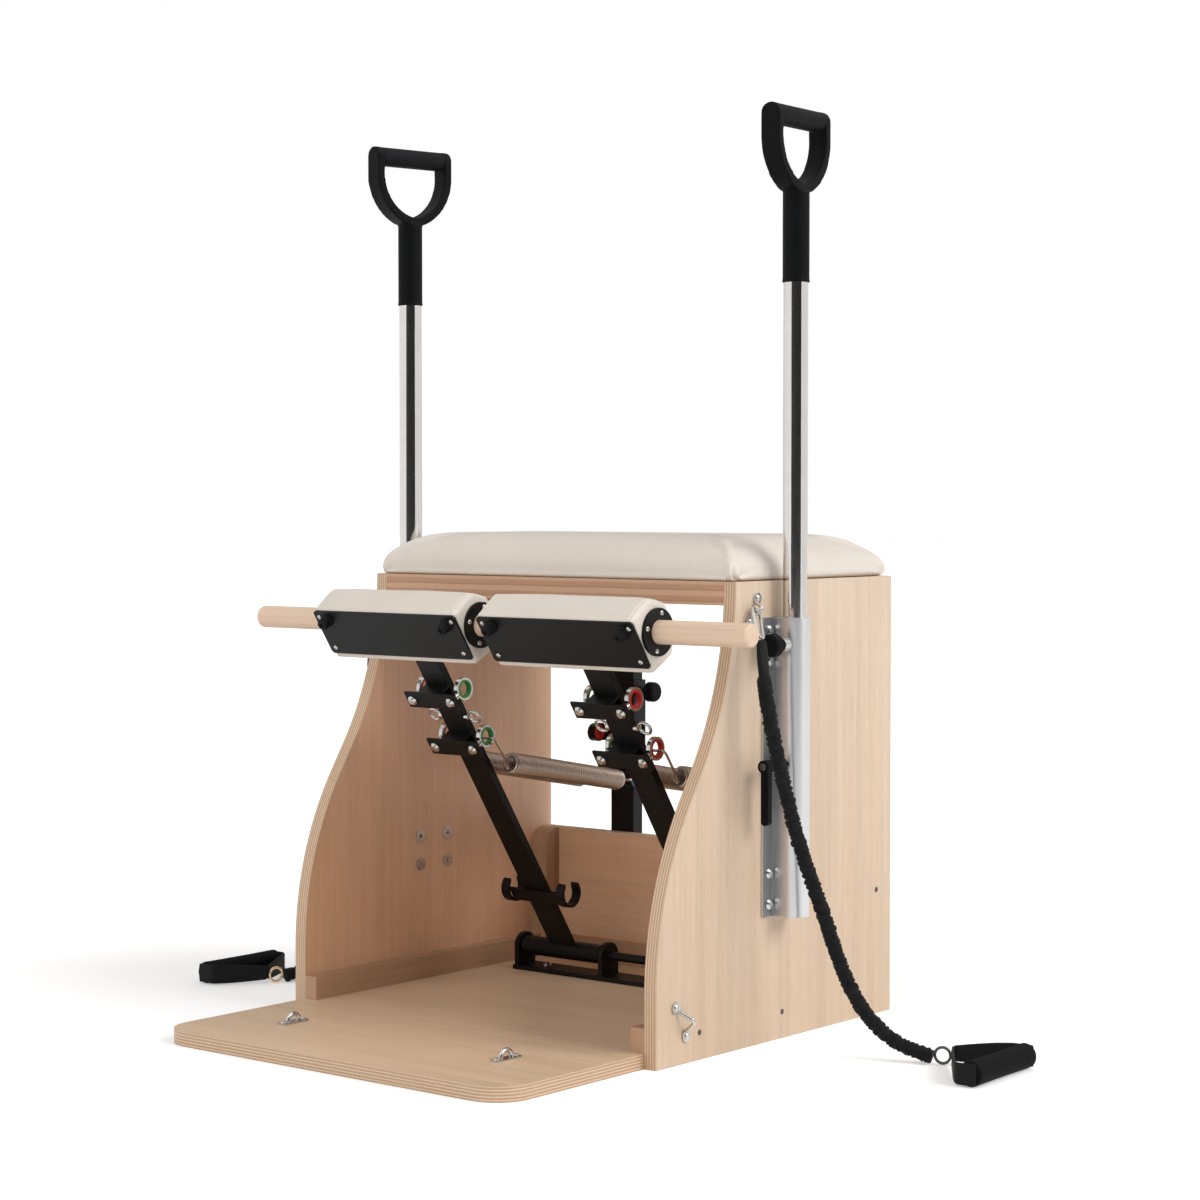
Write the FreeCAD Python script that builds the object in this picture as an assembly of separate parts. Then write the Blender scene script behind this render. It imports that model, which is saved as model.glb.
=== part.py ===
import FreeCAD, Part
import math
import os

from FreeCAD import Vector

# Pilates chair, in millimetres: X to the right, Y to the rear, Z up.
# The origin is on the floor, midway across the chair and midway along its base.

# Cabinet
CABINET_WIDTH = 600.0
PANEL_THICKNESS = 18.0
PANEL_HEIGHT = 570.0
PANEL_REAR_Y = 375.0
PANEL_FOOT_Y = -122.0
PANEL_TOP_Y = 34.0
FOOT_STRAIGHT = 85.0
SLANT_STRAIGHT = 42.0
BOARD_THICKNESS = 18.0
BOARD_FRONT_Y = -375.0
BOARD_CORNER_RADIUS = 45.0
CLEAT_WIDTH = 20.0
CLEAT_HEIGHT = 30.0
REAR_PANEL_THICKNESS = 18.0
REAR_PANEL_TOP_Z = 200.0
GUSSET_WIDTH = 30.0
GUSSET_DEPTH = 29.0
GUSSET_CORNER_RADIUS = 26.0
SEAT_BOARD_THICKNESS = 29.0

# Seat cushion
CUSHION_HEIGHT = 55.0
CUSHION_EDGE_HEIGHT = 13.0
CUSHION_HALF_WIDTH = 299.0
CUSHION_OVERHANG = 2.0
CUSHION_REAR_INSET = 2.0
CUSHION_DRAW_IN = 5.0
CUSHION_SIDE_CROWN = 80.0
CUSHION_FRONT_CROWN = 75.0
CUSHION_REAR_CROWN = 100.0
CUSHION_CORNER_RADIUS = 12.0
CUSHION_CROWN_ANGLES = (15.0, 30.0, 45.0, 60.0, 75.0, 90.0)

# Poles, sleeves and D handles
POLE_Y = 125.0
POLE_RADIUS = 15.0
POLE_WALL = 2.0
POLE_TOP_Z = 1030.0
POLE_FIT = 0.08
POLE_SEAT_GAP = 0.3
INDEX_STEP = 40.0
INDEX_COUNT = 6
INDEX_HOLE_RADIUS = 4.3
SLEEVE_WALL = 3.5
SLEEVE_STAND_OFF = 8.0
SLEEVE_BOTTOM_Z = 156.0
SLEEVE_DROP = 45.0
SLEEVE_FLOOR = 4.0
FLANGE_WIDTH = 77.0
FLANGE_THICKNESS = 3.0
SLEEVE_BOLT_SPREAD = 54.0
SLEEVE_BOLT_END = 15.5
SLEEVE_BOLT_STEP = 38.0
SLEEVE_BOLT_RADIUS = 4.0
SLEEVE_HEAD_RADIUS = 6.5
SLEEVE_HEAD_HEIGHT = 4.5
SLEEVE_NUT_RADIUS = 9.0
SLEEVE_NUT_HEIGHT = 1.5
SLEEVE_NUT_SOCKET = 3.0
HANDLE_NECK_RADIUS = 16.5
HANDLE_NECK_DEPTH = 95.0
HANDLE_FOOT_HALF = 15.5
HANDLE_FORK_RISE = 15.5
HANDLE_VALLEY_RISE = 9.0
HANDLE_RISE = 89.5
HANDLE_BAR_RADIUS = 12.5
HANDLE_LEG_RADIUS = 13.2
HANDLE_HALF_SPAN = 61.5
HANDLE_LEG_THICKNESS = 11.5
HANDLE_STRAIGHT = 16.0
HANDLE_BULGE = 45.9
HANDLE_BULGE_SHARE = 0.30
HANDLE_INNER_BULGE = 33.0
HANDLE_INNER_BULGE_SHARE = 0.25
HANDLE_TURN_RIGHT = 4.0
HANDLE_TURN_LEFT = -11.0

# Plungers and clamping levers on the sleeves
PLUNGER_DROP = 33.0
PLUNGER_PIN_RADIUS = 4.0
PLUNGER_FIT = 0.08
PLUNGER_TIP_GAP = 0.4
COLLAR_RADIUS = 8.5
COLLAR_LENGTH = 12.0
KNOB_GAP = 0.4
KNOB_LENGTH = 26.0
KNOB_NECK_RADIUS = 7.5
KNOB_NECK_LENGTH = 6.0
KNOB_RADIUS = 14.5
KNOB_FLARE_LENGTH = 7.0
KNOB_ROUND = 5.0
LEVER_DROP = 180.0
LEVER_STUD_RADIUS = 4.0
LEVER_FIT = 0.08
LEVER_TIP_GAP = 0.4
LEVER_STAND_OFF = 32.5
LEVER_HUB_RADIUS = 8.0
LEVER_HUB_LENGTH = 16.0
LEVER_LENGTH = 72.0
LEVER_WIDTH = 11.0
LEVER_THICKNESS = 9.0
LEVER_INSET = 3.0

# Small fasteners and wire hooks
HEAD_RIM = 0.4
HEAD_CROWN = 0.6
SCREW_RADIUS = 2.0
SCREW_HEAD_RADIUS = 4.0
SCREW_HEAD_HEIGHT = 2.0
SCREW_LENGTH = 14.0
PANEL_SCREW_HEAD = 3.5
PANEL_SCREW_HEAD_DEPTH = 3.0
PANEL_SCREW_LENGTH = 30.0
PANEL_SCREW_FRONT_Y = -38.0
PANEL_SCREW_MID_Y = 132.0
GUSSET_SCREW_DROP = 38.0
HOLE_FIT = 0.1
HOOK_WIRE_RADIUS = 2.5
HOOK_PAD_RADIUS = 7.0
HOOK_PAD_THICKNESS = 2.5
HOOK_REACH = 20.0
HOOK_BEND = 4.0
UPPER_HOOK_TOP_Y = 76.0
UPPER_HOOK_TOP_DROP = 21.0
UPPER_HOOK_NOSE_Y = 64.0
UPPER_HOOK_NOSE_DROP = 33.0
UPPER_HOOK_BOTTOM_Y = 60.0
UPPER_HOOK_BOTTOM_DROP = 49.0
LOWER_HOOK_TOP = (-86.0, 69.5)
LOWER_HOOK_NOSE = (-72.0, 53.0)
LOWER_HOOK_BOTTOM = (-66.0, 33.0)
EYE_X = 176.0
EYE_Y = -247.0
EYE_PLATE_LENGTH = 44.0
EYE_PLATE_WIDTH = 14.0
EYE_PLATE_THICKNESS = 2.0
EYE_PLATE_ROUND = 3.0
EYE_RING_RADIUS = 9.5
EYE_RING_WIRE = 2.75
EYE_SCREW_SPREAD = 34.0

# Pedal pivot on the base board
PIVOT_Y = 240.0
PIVOT_RISE = 32.0
SHAFT_RADIUS = 6.0
SHAFT_FIT = 0.05
SHAFT_OVERHANG = 4.0
BRACKET_WIDTH = 44.0
BRACKET_THICKNESS = 6.0
EAR_THICKNESS = 7.0
EAR_RADIUS = 18.0
PIVOT_TUBE_RADIUS = 13.0
PIVOT_TUBE_LENGTH = 130.0
BUSH_WALL = 3.0
BUSH_LENGTH = 25.0
BUSH_FLANGE_RADIUS = 12.0
BUSH_FLANGE_THICKNESS = 5.0
BUSH_FIT = 0.02
EAR_GAP = 1.0
BRACKET_BOLT_RADIUS = 4.0
BRACKET_BOLT_HEAD = 7.0
BRACKET_BOLT_HEAD_HEIGHT = 5.0
BRACKET_BOLT_INNER_GAP = 8.0
BRACKET_BOLT_OUTER_GAP = 37.0

# Pedals, measured along the arm from the pivot and forward from the arm's middle
PEDAL_X = 141.0
ARM_LEAN = 33.8
ARM_WIDTH = 38.0
ARM_THICKNESS = 10.0
ARM_LENGTH = 536.0
BAR_UPPER_DROP = 88.0
BAR_LOWER_DROP = 165.0
BAR_LENGTH = 88.0
BAR_HEIGHT = 24.0
BAR_PLATE = 3.0
BAR_DEPTH = 20.0
BAR_CHEEK_LENGTH = 40.0
EYE_SPREAD = 66.0
EYE_BOLT_RADIUS = 4.0
EYE_BOLT_HEAD = 7.0
EYE_BOLT_HEAD_HEIGHT = 5.0
EYE_OUTER_RADIUS = 15.0
EYE_INNER_RADIUS = 12.0
EYE_WIDTH = 6.0
EYE_T = -4.0
LINER_FIT = 0.05
LINER_INNER_RADIUS = 9.5
LINER_WIDTH = 7.0
SIDE_EYE_DROP = 130.0
SIDE_EYE_COLLAR_RADIUS = 5.0
SIDE_EYE_COLLAR_LENGTH = 6.0
SIDE_EYE_RING_RADIUS = 8.5
SIDE_EYE_WIRE = 2.0
SIDE_EYE_STUD_RADIUS = 3.0
SIDE_EYE_STUD_LENGTH = 10.0
CRADLE_S = 103.0
CRADLE_T = -5.0
CRADLE_INNER_RADIUS = 15.5
CRADLE_BAND = 3.5
CRADLE_WIDTH = 13.0
CRADLE_SPREAD = 97.0
CRADLE_MOUTH = 26.0
CRADLE_PLATE_HEIGHT = 20.0
CRADLE_PLATE_THICKNESS = 4.0
PAD_HALF_LENGTH = 123.0
PAD_FRONT_T = 36.0
PAD_TOP_RISE = 64.0
PAD_BOTTOM_DROP = 16.0
PAD_SHOULDER_T = -6.0
PAD_BACK_T = -27.0
PAD_BACK_TOP_RISE = 42.0
PAD_BACK_BOTTOM_RISE = 6.0
PAD_FRONT_TAPER = 3.0
PAD_CORNER_RADIUS = 9.0
PAD_SWELL = 4.0
PAD_DRAW_IN = 4.0
PAD_END_ROUND = 12.0
CORE_INSET = 11.0
CORE_END_INSET = 6.0
PLATE_THICKNESS = 2.5
PLATE_TOP_RISE = 61.0
PLATE_BOTTOM_DROP = 6.0
PLATE_CORNER_RADIUS = 5.0
BUMPER_SPREAD = 208.0
BUMPER_RISE = 47.0
BUMPER_RADIUS = 8.0
BUMPER_TIP_RADIUS = 7.0
BUMPER_LENGTH = 12.0
PAD_FIT = 0.1
DOWEL_RISE = 24.0
DOWEL_T = 5.0
DOWEL_RADIUS = 14.5
DOWEL_LENGTH = 810.0
DOWEL_END_ROUND = 4.0
DOWEL_FIT = 0.08
DOWEL_PAD_CLEARANCE = 1.5
FLANGE_DISC_RADIUS = 29.0
FLANGE_DISC_THICKNESS = 4.0

# Rear posts, height carriages and springs
POST_X = 150.0
POST_WIDTH = 40.0
POST_DEPTH = 20.0
POST_WALL = 2.0
POST_BOTTOM_Z = 30.0
POST_BOLT_LOW_Z = 70.0
POST_BOLT_MID_Z = 160.0
POST_BOLT_RADIUS = 4.0
POST_BOLT_HEAD = 7.0
POST_BOLT_HEAD_HEIGHT = 4.5
POST_BOLT_GRIP = 14.0
CARRIAGE_BOTTOM_Z = 262.0
CARRIAGE_HEIGHT = 153.0
CARRIAGE_WALL = 3.0
CARRIAGE_FIT = 0.3
CARRIAGE_EYE_LOW = 16.0
CARRIAGE_EYE_STEP = 62.0
CARRIAGE_EYE_OUTER = 12.5
CARRIAGE_EYE_INNER = 9.5
CARRIAGE_EYE_WIDTH = 12.0
CARRIAGE_EYE_SINK = 1.0
PULL_DROP = 16.0
PULL_STEM_RADIUS = 4.0
PULL_FIT = 0.08
PULL_TIP_GAP = 0.4
PULL_STEM_LENGTH = 17.0
PULL_HEAD_RADIUS = 14.0
PULL_HEAD_LENGTH = 14.0
PULL_HEAD_ROUND = 6.0
PULL_BOSS_RADIUS = 8.0
PULL_BOSS_LENGTH = 5.0
SPRING_OUTER_RADIUS = 14.5
SPRING_WIRE_RADIUS = 3.9
SPRING_TURNS = 25
SPRING_FRONT_Y = 84.0
SPRING_FRONT_Z = 322.0
SPRING_REAR_Y = 326.0
SPRING_REAR_Z = 279.0
SPRING_CAP_LENGTH = 4.0
SPRING_CAP_GAP = 0.3
SPRING_HOOK_RADIUS = 2.2
SPRING_HOOK_SIDE = 11.0
SPRING_HOOK_STEM = 4.0
SPRING_HOOK_BEND = 3.5

# Straps: carabiner, webbing, gathered cord, ring and grip
CORD_RADIUS = 8.5
CARABINER_LENGTH = 48.0
CARABINER_WIDTH = 20.0
CARABINER_WIRE = 2.5
CARABINER_PLAY = 0.5
CARABINER_SEAT = 8.0
WEBBING_WIDTH = 20.0
WEBBING_THICKNESS = 8.0
STRAP_GAP = 0.3
WEBBING_GAP = 1.6
RING_RADIUS = 9.5
RING_WIRE = 1.8
GRIP_RADIUS = 15.0
GRIP_FLOOR_GAP = 0.3
BAND_THICKNESS = 3.0
BAND_HEIGHT = 26.0
BAND_FLOOR_GAP = 2.0
CARABINER_DROP = 76.0
CORD_FLOOR_GAP = 1.0
RIGHT_CARABINER_END = (335.0, 40.0)
RIGHT_CORD = (
    (341.0, 37.0, 0.8968), (346.0, 40.0, 0.8178), (355.0, 44.0, 0.7287), (367.0, 46.0, 0.6356),
    (380.0, 49.0, 0.5364), (392.0, 60.0, 0.4393), (403.0, 75.0, 0.3401), (416.0, 84.0, 0.2389),
    (434.0, 91.0, 0.1498), (461.0, 98.0, 0.0789), (494.0, 107.0, 0.0344), (528.0, 117.0, 0.0))
RIGHT_GRIP = ((631.0, 34.0), (626.0, 168.0))
LEFT_CARABINER_END = (-316.0, 42.0)
LEFT_CORD = (
    (-318.0, 46.0, 0.8968), (-320.0, 49.0, 0.8138), (-325.0, 48.0, 0.7227), (-332.0, 47.0, 0.6255),
    (-341.0, 48.0, 0.5263), (-352.0, 53.0, 0.4271), (-364.0, 62.0, 0.3320), (-379.0, 72.0, 0.2429),
    (-397.0, 79.0, 0.1660), (-416.0, 79.0, 0.1032), (-435.0, 68.0, 0.0547), (-451.0, 44.0, 0.0243),
    (-462.0, 16.0, 0.0))
LEFT_GRIP = ((-537.0, -64.0), (-538.0, 70.0))

# Places that follow from the sizes above
OUTER_X = CABINET_WIDTH / 2.0
INNER_X = OUTER_X - PANEL_THICKNESS
SEAT_BOTTOM_Z = PANEL_HEIGHT - SEAT_BOARD_THICKNESS
REAR_FACE_Y = PANEL_REAR_Y - REAR_PANEL_THICKNESS
CLEAT_TOP_Z = BOARD_THICKNESS + CLEAT_HEIGHT
CLEAT_MID_Z = BOARD_THICKNESS + CLEAT_HEIGHT / 2.0
GUSSET_FRONT_Y = REAR_FACE_Y - GUSSET_DEPTH
SLEEVE_TOP_Z = PANEL_HEIGHT - SLEEVE_DROP
PLUNGER_Z = SLEEVE_TOP_Z - PLUNGER_DROP
LEVER_Z = SLEEVE_TOP_Z - LEVER_DROP
HANDLE_NECK_BOTTOM_Z = POLE_TOP_Z - HANDLE_NECK_DEPTH
HANDLE_FORK_Z = POLE_TOP_Z + HANDLE_FORK_RISE
HANDLE_VALLEY_Z = HANDLE_FORK_Z + HANDLE_VALLEY_RISE
HANDLE_BAR_Z = HANDLE_FORK_Z + HANDLE_RISE
SLEEVE_RADIUS = POLE_RADIUS + SLEEVE_WALL
POLE_X = OUTER_X + SLEEVE_STAND_OFF + POLE_RADIUS
SLEEVE_FRONT_Y = POLE_Y - SLEEVE_RADIUS
FLANGE_X = OUTER_X + FLANGE_THICKNESS
SLEEVE_BOLT_ROWS = (
    SLEEVE_BOTTOM_Z + SLEEVE_BOLT_END,
    SLEEVE_BOTTOM_Z + SLEEVE_BOLT_END + SLEEVE_BOLT_STEP,
    SLEEVE_TOP_Z - SLEEVE_BOLT_END - SLEEVE_BOLT_STEP,
    SLEEVE_TOP_Z - SLEEVE_BOLT_END)
SLEEVE_BOLT_YS = (POLE_Y - SLEEVE_BOLT_SPREAD / 2.0, POLE_Y + SLEEVE_BOLT_SPREAD / 2.0)
PANEL_SCREWS = (
    (PANEL_SCREW_FRONT_Y, CLEAT_MID_Z),
    (PANEL_SCREW_MID_Y, CLEAT_MID_Z),
    (GUSSET_FRONT_Y + GUSSET_DEPTH / 2.0, REAR_PANEL_TOP_Z - GUSSET_SCREW_DROP))
UPPER_HOOK_TOP = (UPPER_HOOK_TOP_Y, PANEL_HEIGHT - UPPER_HOOK_TOP_DROP)
UPPER_HOOK_NOSE = (UPPER_HOOK_NOSE_Y, PANEL_HEIGHT - UPPER_HOOK_NOSE_DROP)
UPPER_HOOK_BOTTOM = (UPPER_HOOK_BOTTOM_Y, PANEL_HEIGHT - UPPER_HOOK_BOTTOM_DROP)
HOOKS = (
    (UPPER_HOOK_TOP, UPPER_HOOK_NOSE, UPPER_HOOK_BOTTOM),
    (LOWER_HOOK_TOP, LOWER_HOOK_NOSE, LOWER_HOOK_BOTTOM))
PIVOT_Z = BOARD_THICKNESS + PIVOT_RISE
BUSH_RADIUS = SHAFT_RADIUS + SHAFT_FIT + BUSH_WALL
BUSH_END_X = PIVOT_TUBE_LENGTH / 2.0 + BUSH_FLANGE_THICKNESS
EYE_REAR_T = ARM_THICKNESS / 2.0 + BAR_DEPTH
BAR_UPPER_S = ARM_LENGTH - BAR_UPPER_DROP
BAR_LOWER_S = ARM_LENGTH - BAR_LOWER_DROP
SIDE_EYE_S = ARM_LENGTH - SIDE_EYE_DROP
PAD_TOP_S = ARM_LENGTH + PAD_TOP_RISE
PAD_BOTTOM_S = ARM_LENGTH - PAD_BOTTOM_DROP
PAD_BACK_TOP_S = ARM_LENGTH + PAD_BACK_TOP_RISE
PAD_BACK_BOTTOM_S = ARM_LENGTH + PAD_BACK_BOTTOM_RISE
PLATE_TOP_S = ARM_LENGTH + PLATE_TOP_RISE
PLATE_BOTTOM_S = ARM_LENGTH - PLATE_BOTTOM_DROP
BUMPER_S = ARM_LENGTH + BUMPER_RISE
DOWEL_S = ARM_LENGTH + DOWEL_RISE
POST_REAR_Y = PANEL_REAR_Y + POST_DEPTH
POST_BOLT_ZS = (POST_BOLT_LOW_Z, POST_BOLT_MID_Z, PANEL_HEIGHT - SEAT_BOARD_THICKNESS / 2.0)
CARRIAGE_HALF = POST_WIDTH / 2.0 + CARRIAGE_FIT + CARRIAGE_WALL
CARRIAGE_FRONT_Y = PANEL_REAR_Y - CARRIAGE_FIT - CARRIAGE_WALL
CARRIAGE_REAR_Y = POST_REAR_Y + CARRIAGE_FIT + CARRIAGE_WALL
CARRIAGE_EYE_Y = CARRIAGE_FRONT_Y - BAR_PLATE - CARRIAGE_EYE_OUTER + CARRIAGE_EYE_SINK
CARRIAGE_EYE_ZS = (
    CARRIAGE_BOTTOM_Z + CARRIAGE_EYE_LOW,
    CARRIAGE_BOTTOM_Z + CARRIAGE_EYE_LOW + CARRIAGE_EYE_STEP)
PULL_Z = CARRIAGE_BOTTOM_Z + CARRIAGE_HEIGHT - PULL_DROP

X_AXIS = Vector(1, 0, 0)
Y_AXIS = Vector(0, 1, 0)
Z_AXIS = Vector(0, 0, 1)
ORIGIN = Vector(0, 0, 0)


def box(x0, x1, y0, y1, z0, z1):
    return Part.makeBox(x1 - x0, y1 - y0, z1 - z0, Vector(x0, y0, z0))


def rod(start, axis, radius, length):
    return Part.makeCylinder(radius, length, start, axis)


def ring(centre, axis, outer, inner, width):
    start = centre - axis * (width / 2.0)
    return rod(start, axis, outer, width).cut(rod(start, axis, inner, width))


def fused(shapes):
    return shapes[0].multiFuse(shapes[1:]).removeSplitter()


def mirrored(shape):
    return shape.mirror(ORIGIN, X_AXIS)


def both_sides(shapes):
    return list(shapes) + [mirrored(shape) for shape in shapes]


def prism(edges, depth):
    return Part.Face(Part.Wire(edges)).extrude(depth)


def polyline(points):
    closed = list(points) + [points[0]]
    return [Part.makeLine(a, b) for a, b in zip(closed[:-1], closed[1:])]


def rounded_polygon(points, radii):
    # Edges of a flat polygon whose corners are arcs.
    count = len(points)
    cuts = []
    for i in range(count):
        corner = points[i]
        before = (points[i - 1] - corner).normalize()
        after = (points[(i + 1) % count] - corner).normalize()
        half = before.getAngle(after) / 2.0
        reach = radii[i] / math.tan(half)
        centre = corner + (before + after).normalize() * (radii[i] / math.sin(half))
        middle = centre + (corner - centre).normalize() * radii[i]
        cuts.append((corner + before * reach, middle, corner + after * reach))
    edges = []
    for i in range(count):
        start, middle, end = cuts[i]
        edges.append(Part.Arc(start, middle, end).toShape())
        edges.append(Part.makeLine(end, cuts[(i + 1) % count][0]))
    return edges


def rounded_box(x0, x1, y0, y1, z0, z1, radius):
    # Box with rounded upright edges.
    corners = [Vector(x0, y0, z0), Vector(x1, y0, z0), Vector(x1, y1, z0), Vector(x0, y1, z0)]
    return prism(rounded_polygon(corners, [radius] * 4), Vector(0, 0, z1 - z0))


def bent_path(points, bend):
    # Straight runs joined by tangent arcs; without a bend each arc is as large as its runs allow.
    edges = []
    radii = []
    at = points[0]
    for i in range(1, len(points) - 1):
        corner = points[i]
        arriving = (corner - points[i - 1]).normalize()
        leaving = (points[i + 1] - corner).normalize()
        half = arriving.getAngle(leaving) / 2.0
        shorter = min((corner - points[i - 1]).Length, (points[i + 1] - corner).Length)
        radius = bend if bend else 0.45 * shorter / math.tan(half)
        reach = radius * math.tan(half)
        start = corner - arriving * reach
        end = corner + leaving * reach
        centre = corner + (leaving - arriving).normalize() * (radius / math.cos(half))
        middle = centre + (corner - centre).normalize() * radius
        edges.append(Part.LineSegment(at, start).toShape())
        edges.append(Part.Arc(start, middle, end).toShape())
        radii.append(radius)
        at = end
    edges.append(Part.LineSegment(at, points[-1]).toShape())
    return Part.Wire(edges), radii


def swept(path, radius):
    first = path.OrderedEdges[0]
    start = first.valueAt(first.FirstParameter)
    tangent = first.tangentAt(first.FirstParameter)
    profile = Part.Wire(Part.makeCircle(radius, start, tangent))
    return path.makePipeShell([profile], True, False)


def bent_rod(points, bend, radius):
    return swept(bent_path(points, bend)[0], radius)


def save(name, shapes):
    shape = shapes[0] if len(shapes) == 1 else Part.makeCompound(shapes)
    volume = sum(solid.Volume for solid in shape.Solids)
    print(name, len(shape.Solids), "valid" if shape.isValid() else "INVALID", round(volume))
    shape.exportStep(os.path.join("parts", name + ".step"))


# Side panel with an upright foot, two equal arcs and a short slant between them.
def panel_edges():
    run = PANEL_TOP_Y - PANEL_FOOT_Y
    rise = PANEL_HEIGHT - FOOT_STRAIGHT
    both = (run * run + rise * rise - SLANT_STRAIGHT * SLANT_STRAIGHT) / (2.0 * run)
    lean = math.atan2(rise, both - run) - math.atan2(SLANT_STRAIGHT, both)
    radius = both / 2.0

    def low(angle):
        y = PANEL_FOOT_Y + radius * (1.0 - math.cos(angle))
        return Vector(INNER_X, y, FOOT_STRAIGHT + radius * math.sin(angle))

    def high(angle):
        y = PANEL_TOP_Y - radius * (1.0 - math.cos(angle))
        return Vector(INNER_X, y, PANEL_HEIGHT - radius * math.sin(angle))

    foot = Vector(INNER_X, PANEL_FOOT_Y, 0)
    heel = Vector(INNER_X, PANEL_REAR_Y, 0)
    back = Vector(INNER_X, PANEL_REAR_Y, PANEL_HEIGHT)
    return [
        Part.makeLine(foot, low(0.0)),
        Part.Arc(low(0.0), low(lean / 2.0), low(lean)).toShape(),
        Part.makeLine(low(lean), high(lean)),
        Part.Arc(high(lean), high(lean / 2.0), high(0.0)).toShape(),
        Part.makeLine(high(0.0), back),
        Part.makeLine(back, heel),
        Part.makeLine(heel, foot)]


def side_panel():
    panel = prism(panel_edges(), Vector(PANEL_THICKNESS, 0, 0))
    holes = []
    for y in SLEEVE_BOLT_YS:
        for z in SLEEVE_BOLT_ROWS:
            radius = SLEEVE_BOLT_RADIUS + HOLE_FIT
            holes.append(rod(Vector(INNER_X, y, z), X_AXIS, radius, PANEL_THICKNESS))
    for y, z in PANEL_SCREWS:
        holes.append(rod(Vector(INNER_X, y, z), X_AXIS, SCREW_RADIUS + HOLE_FIT, PANEL_THICKNESS))
        seat = Vector(OUTER_X - PANEL_SCREW_HEAD_DEPTH - HOLE_FIT, y, z)
        depth = PANEL_SCREW_HEAD_DEPTH + HOLE_FIT
        holes.append(rod(seat, X_AXIS, PANEL_SCREW_HEAD + HOLE_FIT, depth))
    for top, nose, bottom in HOOKS:
        for y, z in (top, bottom):
            start = Vector(OUTER_X - SCREW_LENGTH - HOLE_FIT, y, z)
            depth = SCREW_LENGTH + HOLE_FIT
            holes.append(rod(start, X_AXIS, SCREW_RADIUS + HOLE_FIT, depth))
    return panel.cut(Part.makeCompound(holes))


def base_board():
    corners = [
        Vector(-INNER_X, BOARD_FRONT_Y, 0), Vector(INNER_X, BOARD_FRONT_Y, 0),
        Vector(INNER_X, PANEL_REAR_Y, 0), Vector(-INNER_X, PANEL_REAR_Y, 0)]
    left, right, rear_right, rear_left = corners
    round_off = BOARD_CORNER_RADIUS
    slope = round_off * (1.0 - math.sqrt(0.5))
    edges = [
        Part.makeLine(left + Vector(round_off, 0, 0), right - Vector(round_off, 0, 0)),
        Part.Arc(right - Vector(round_off, 0, 0), right + Vector(-slope, slope, 0),
                 right + Vector(0, round_off, 0)).toShape(),
        Part.makeLine(right + Vector(0, round_off, 0), rear_right),
        Part.makeLine(rear_right, rear_left),
        Part.makeLine(rear_left, left + Vector(0, round_off, 0)),
        Part.Arc(left + Vector(0, round_off, 0), left + Vector(slope, slope, 0),
                 left + Vector(round_off, 0, 0)).toShape()]
    board = prism(edges, Vector(0, 0, BOARD_THICKNESS))
    holes = []
    for point in floor_eye_screws():
        start = point - Vector(0, 0, SCREW_LENGTH + HOLE_FIT)
        holes.append(rod(start, Z_AXIS, SCREW_RADIUS + HOLE_FIT, SCREW_LENGTH + HOLE_FIT))
    for point in bracket_bolt_points():
        start = Vector(point.x, point.y, 0)
        holes.append(rod(start, Z_AXIS, BRACKET_BOLT_RADIUS + HOLE_FIT, BOARD_THICKNESS))
    return board.cut(Part.makeCompound(holes))


def floor_eye_screws():
    half = EYE_SCREW_SPREAD / 2.0
    return [Vector(x, EYE_Y + step, BOARD_THICKNESS) for x in (-EYE_X, EYE_X) for step in (-half, half)]


def bracket_bolt_points():
    top = BOARD_THICKNESS + BRACKET_THICKNESS
    inner, outer = ear_spans()
    places = (outer[0] - BRACKET_BOLT_OUTER_GAP, inner[1] + BRACKET_BOLT_INNER_GAP)
    return [Vector(side * x, PIVOT_Y, top) for x in places for side in (-1, 1)]


def base_cleats():
    side = box(INNER_X - CLEAT_WIDTH, INNER_X, PANEL_FOOT_Y, GUSSET_FRONT_Y, BOARD_THICKNESS, CLEAT_TOP_Z)
    for y, z in PANEL_SCREWS[:2]:
        reach = PANEL_SCREW_LENGTH - PANEL_THICKNESS + HOLE_FIT
        side = side.cut(rod(Vector(INNER_X - reach, y, z), X_AXIS, SCREW_RADIUS + HOLE_FIT, reach))
    half = INNER_X - GUSSET_WIDTH
    rear = box(-half, half, REAR_FACE_Y - CLEAT_WIDTH, REAR_FACE_Y, BOARD_THICKNESS, CLEAT_TOP_Z)
    return both_sides([side]) + [rear]


def corner_gussets():
    x = INNER_X - GUSSET_WIDTH
    corners = [
        Vector(x, REAR_FACE_Y, BOARD_THICKNESS), Vector(x, REAR_FACE_Y, REAR_PANEL_TOP_Z),
        Vector(x, GUSSET_FRONT_Y, REAR_PANEL_TOP_Z), Vector(x, GUSSET_FRONT_Y, BOARD_THICKNESS)]
    turn = GUSSET_CORNER_RADIUS
    slope = turn * (1.0 - math.sqrt(0.5))
    corner = corners[2]
    start = corner + Vector(0, turn, 0)
    end = corner - Vector(0, 0, turn)
    edges = [
        Part.makeLine(corners[0], corners[1]), Part.makeLine(corners[1], start),
        Part.Arc(start, corner + Vector(0, slope, -slope), end).toShape(),
        Part.makeLine(end, corners[3]), Part.makeLine(corners[3], corners[0])]
    gusset = prism(edges, Vector(GUSSET_WIDTH, 0, 0))
    y, z = PANEL_SCREWS[2]
    reach = PANEL_SCREW_LENGTH - PANEL_THICKNESS + HOLE_FIT
    gusset = gusset.cut(rod(Vector(INNER_X - reach, y, z), X_AXIS, SCREW_RADIUS + HOLE_FIT, reach))
    return both_sides([gusset])


def post_bolt_holes(depth):
    holes = []
    for x in (-POST_X, POST_X):
        for z in POST_BOLT_ZS:
            start = Vector(x, PANEL_REAR_Y - depth, z)
            holes.append(rod(start, Y_AXIS, POST_BOLT_RADIUS + HOLE_FIT, depth + POST_DEPTH))
    return Part.makeCompound(holes)


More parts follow.
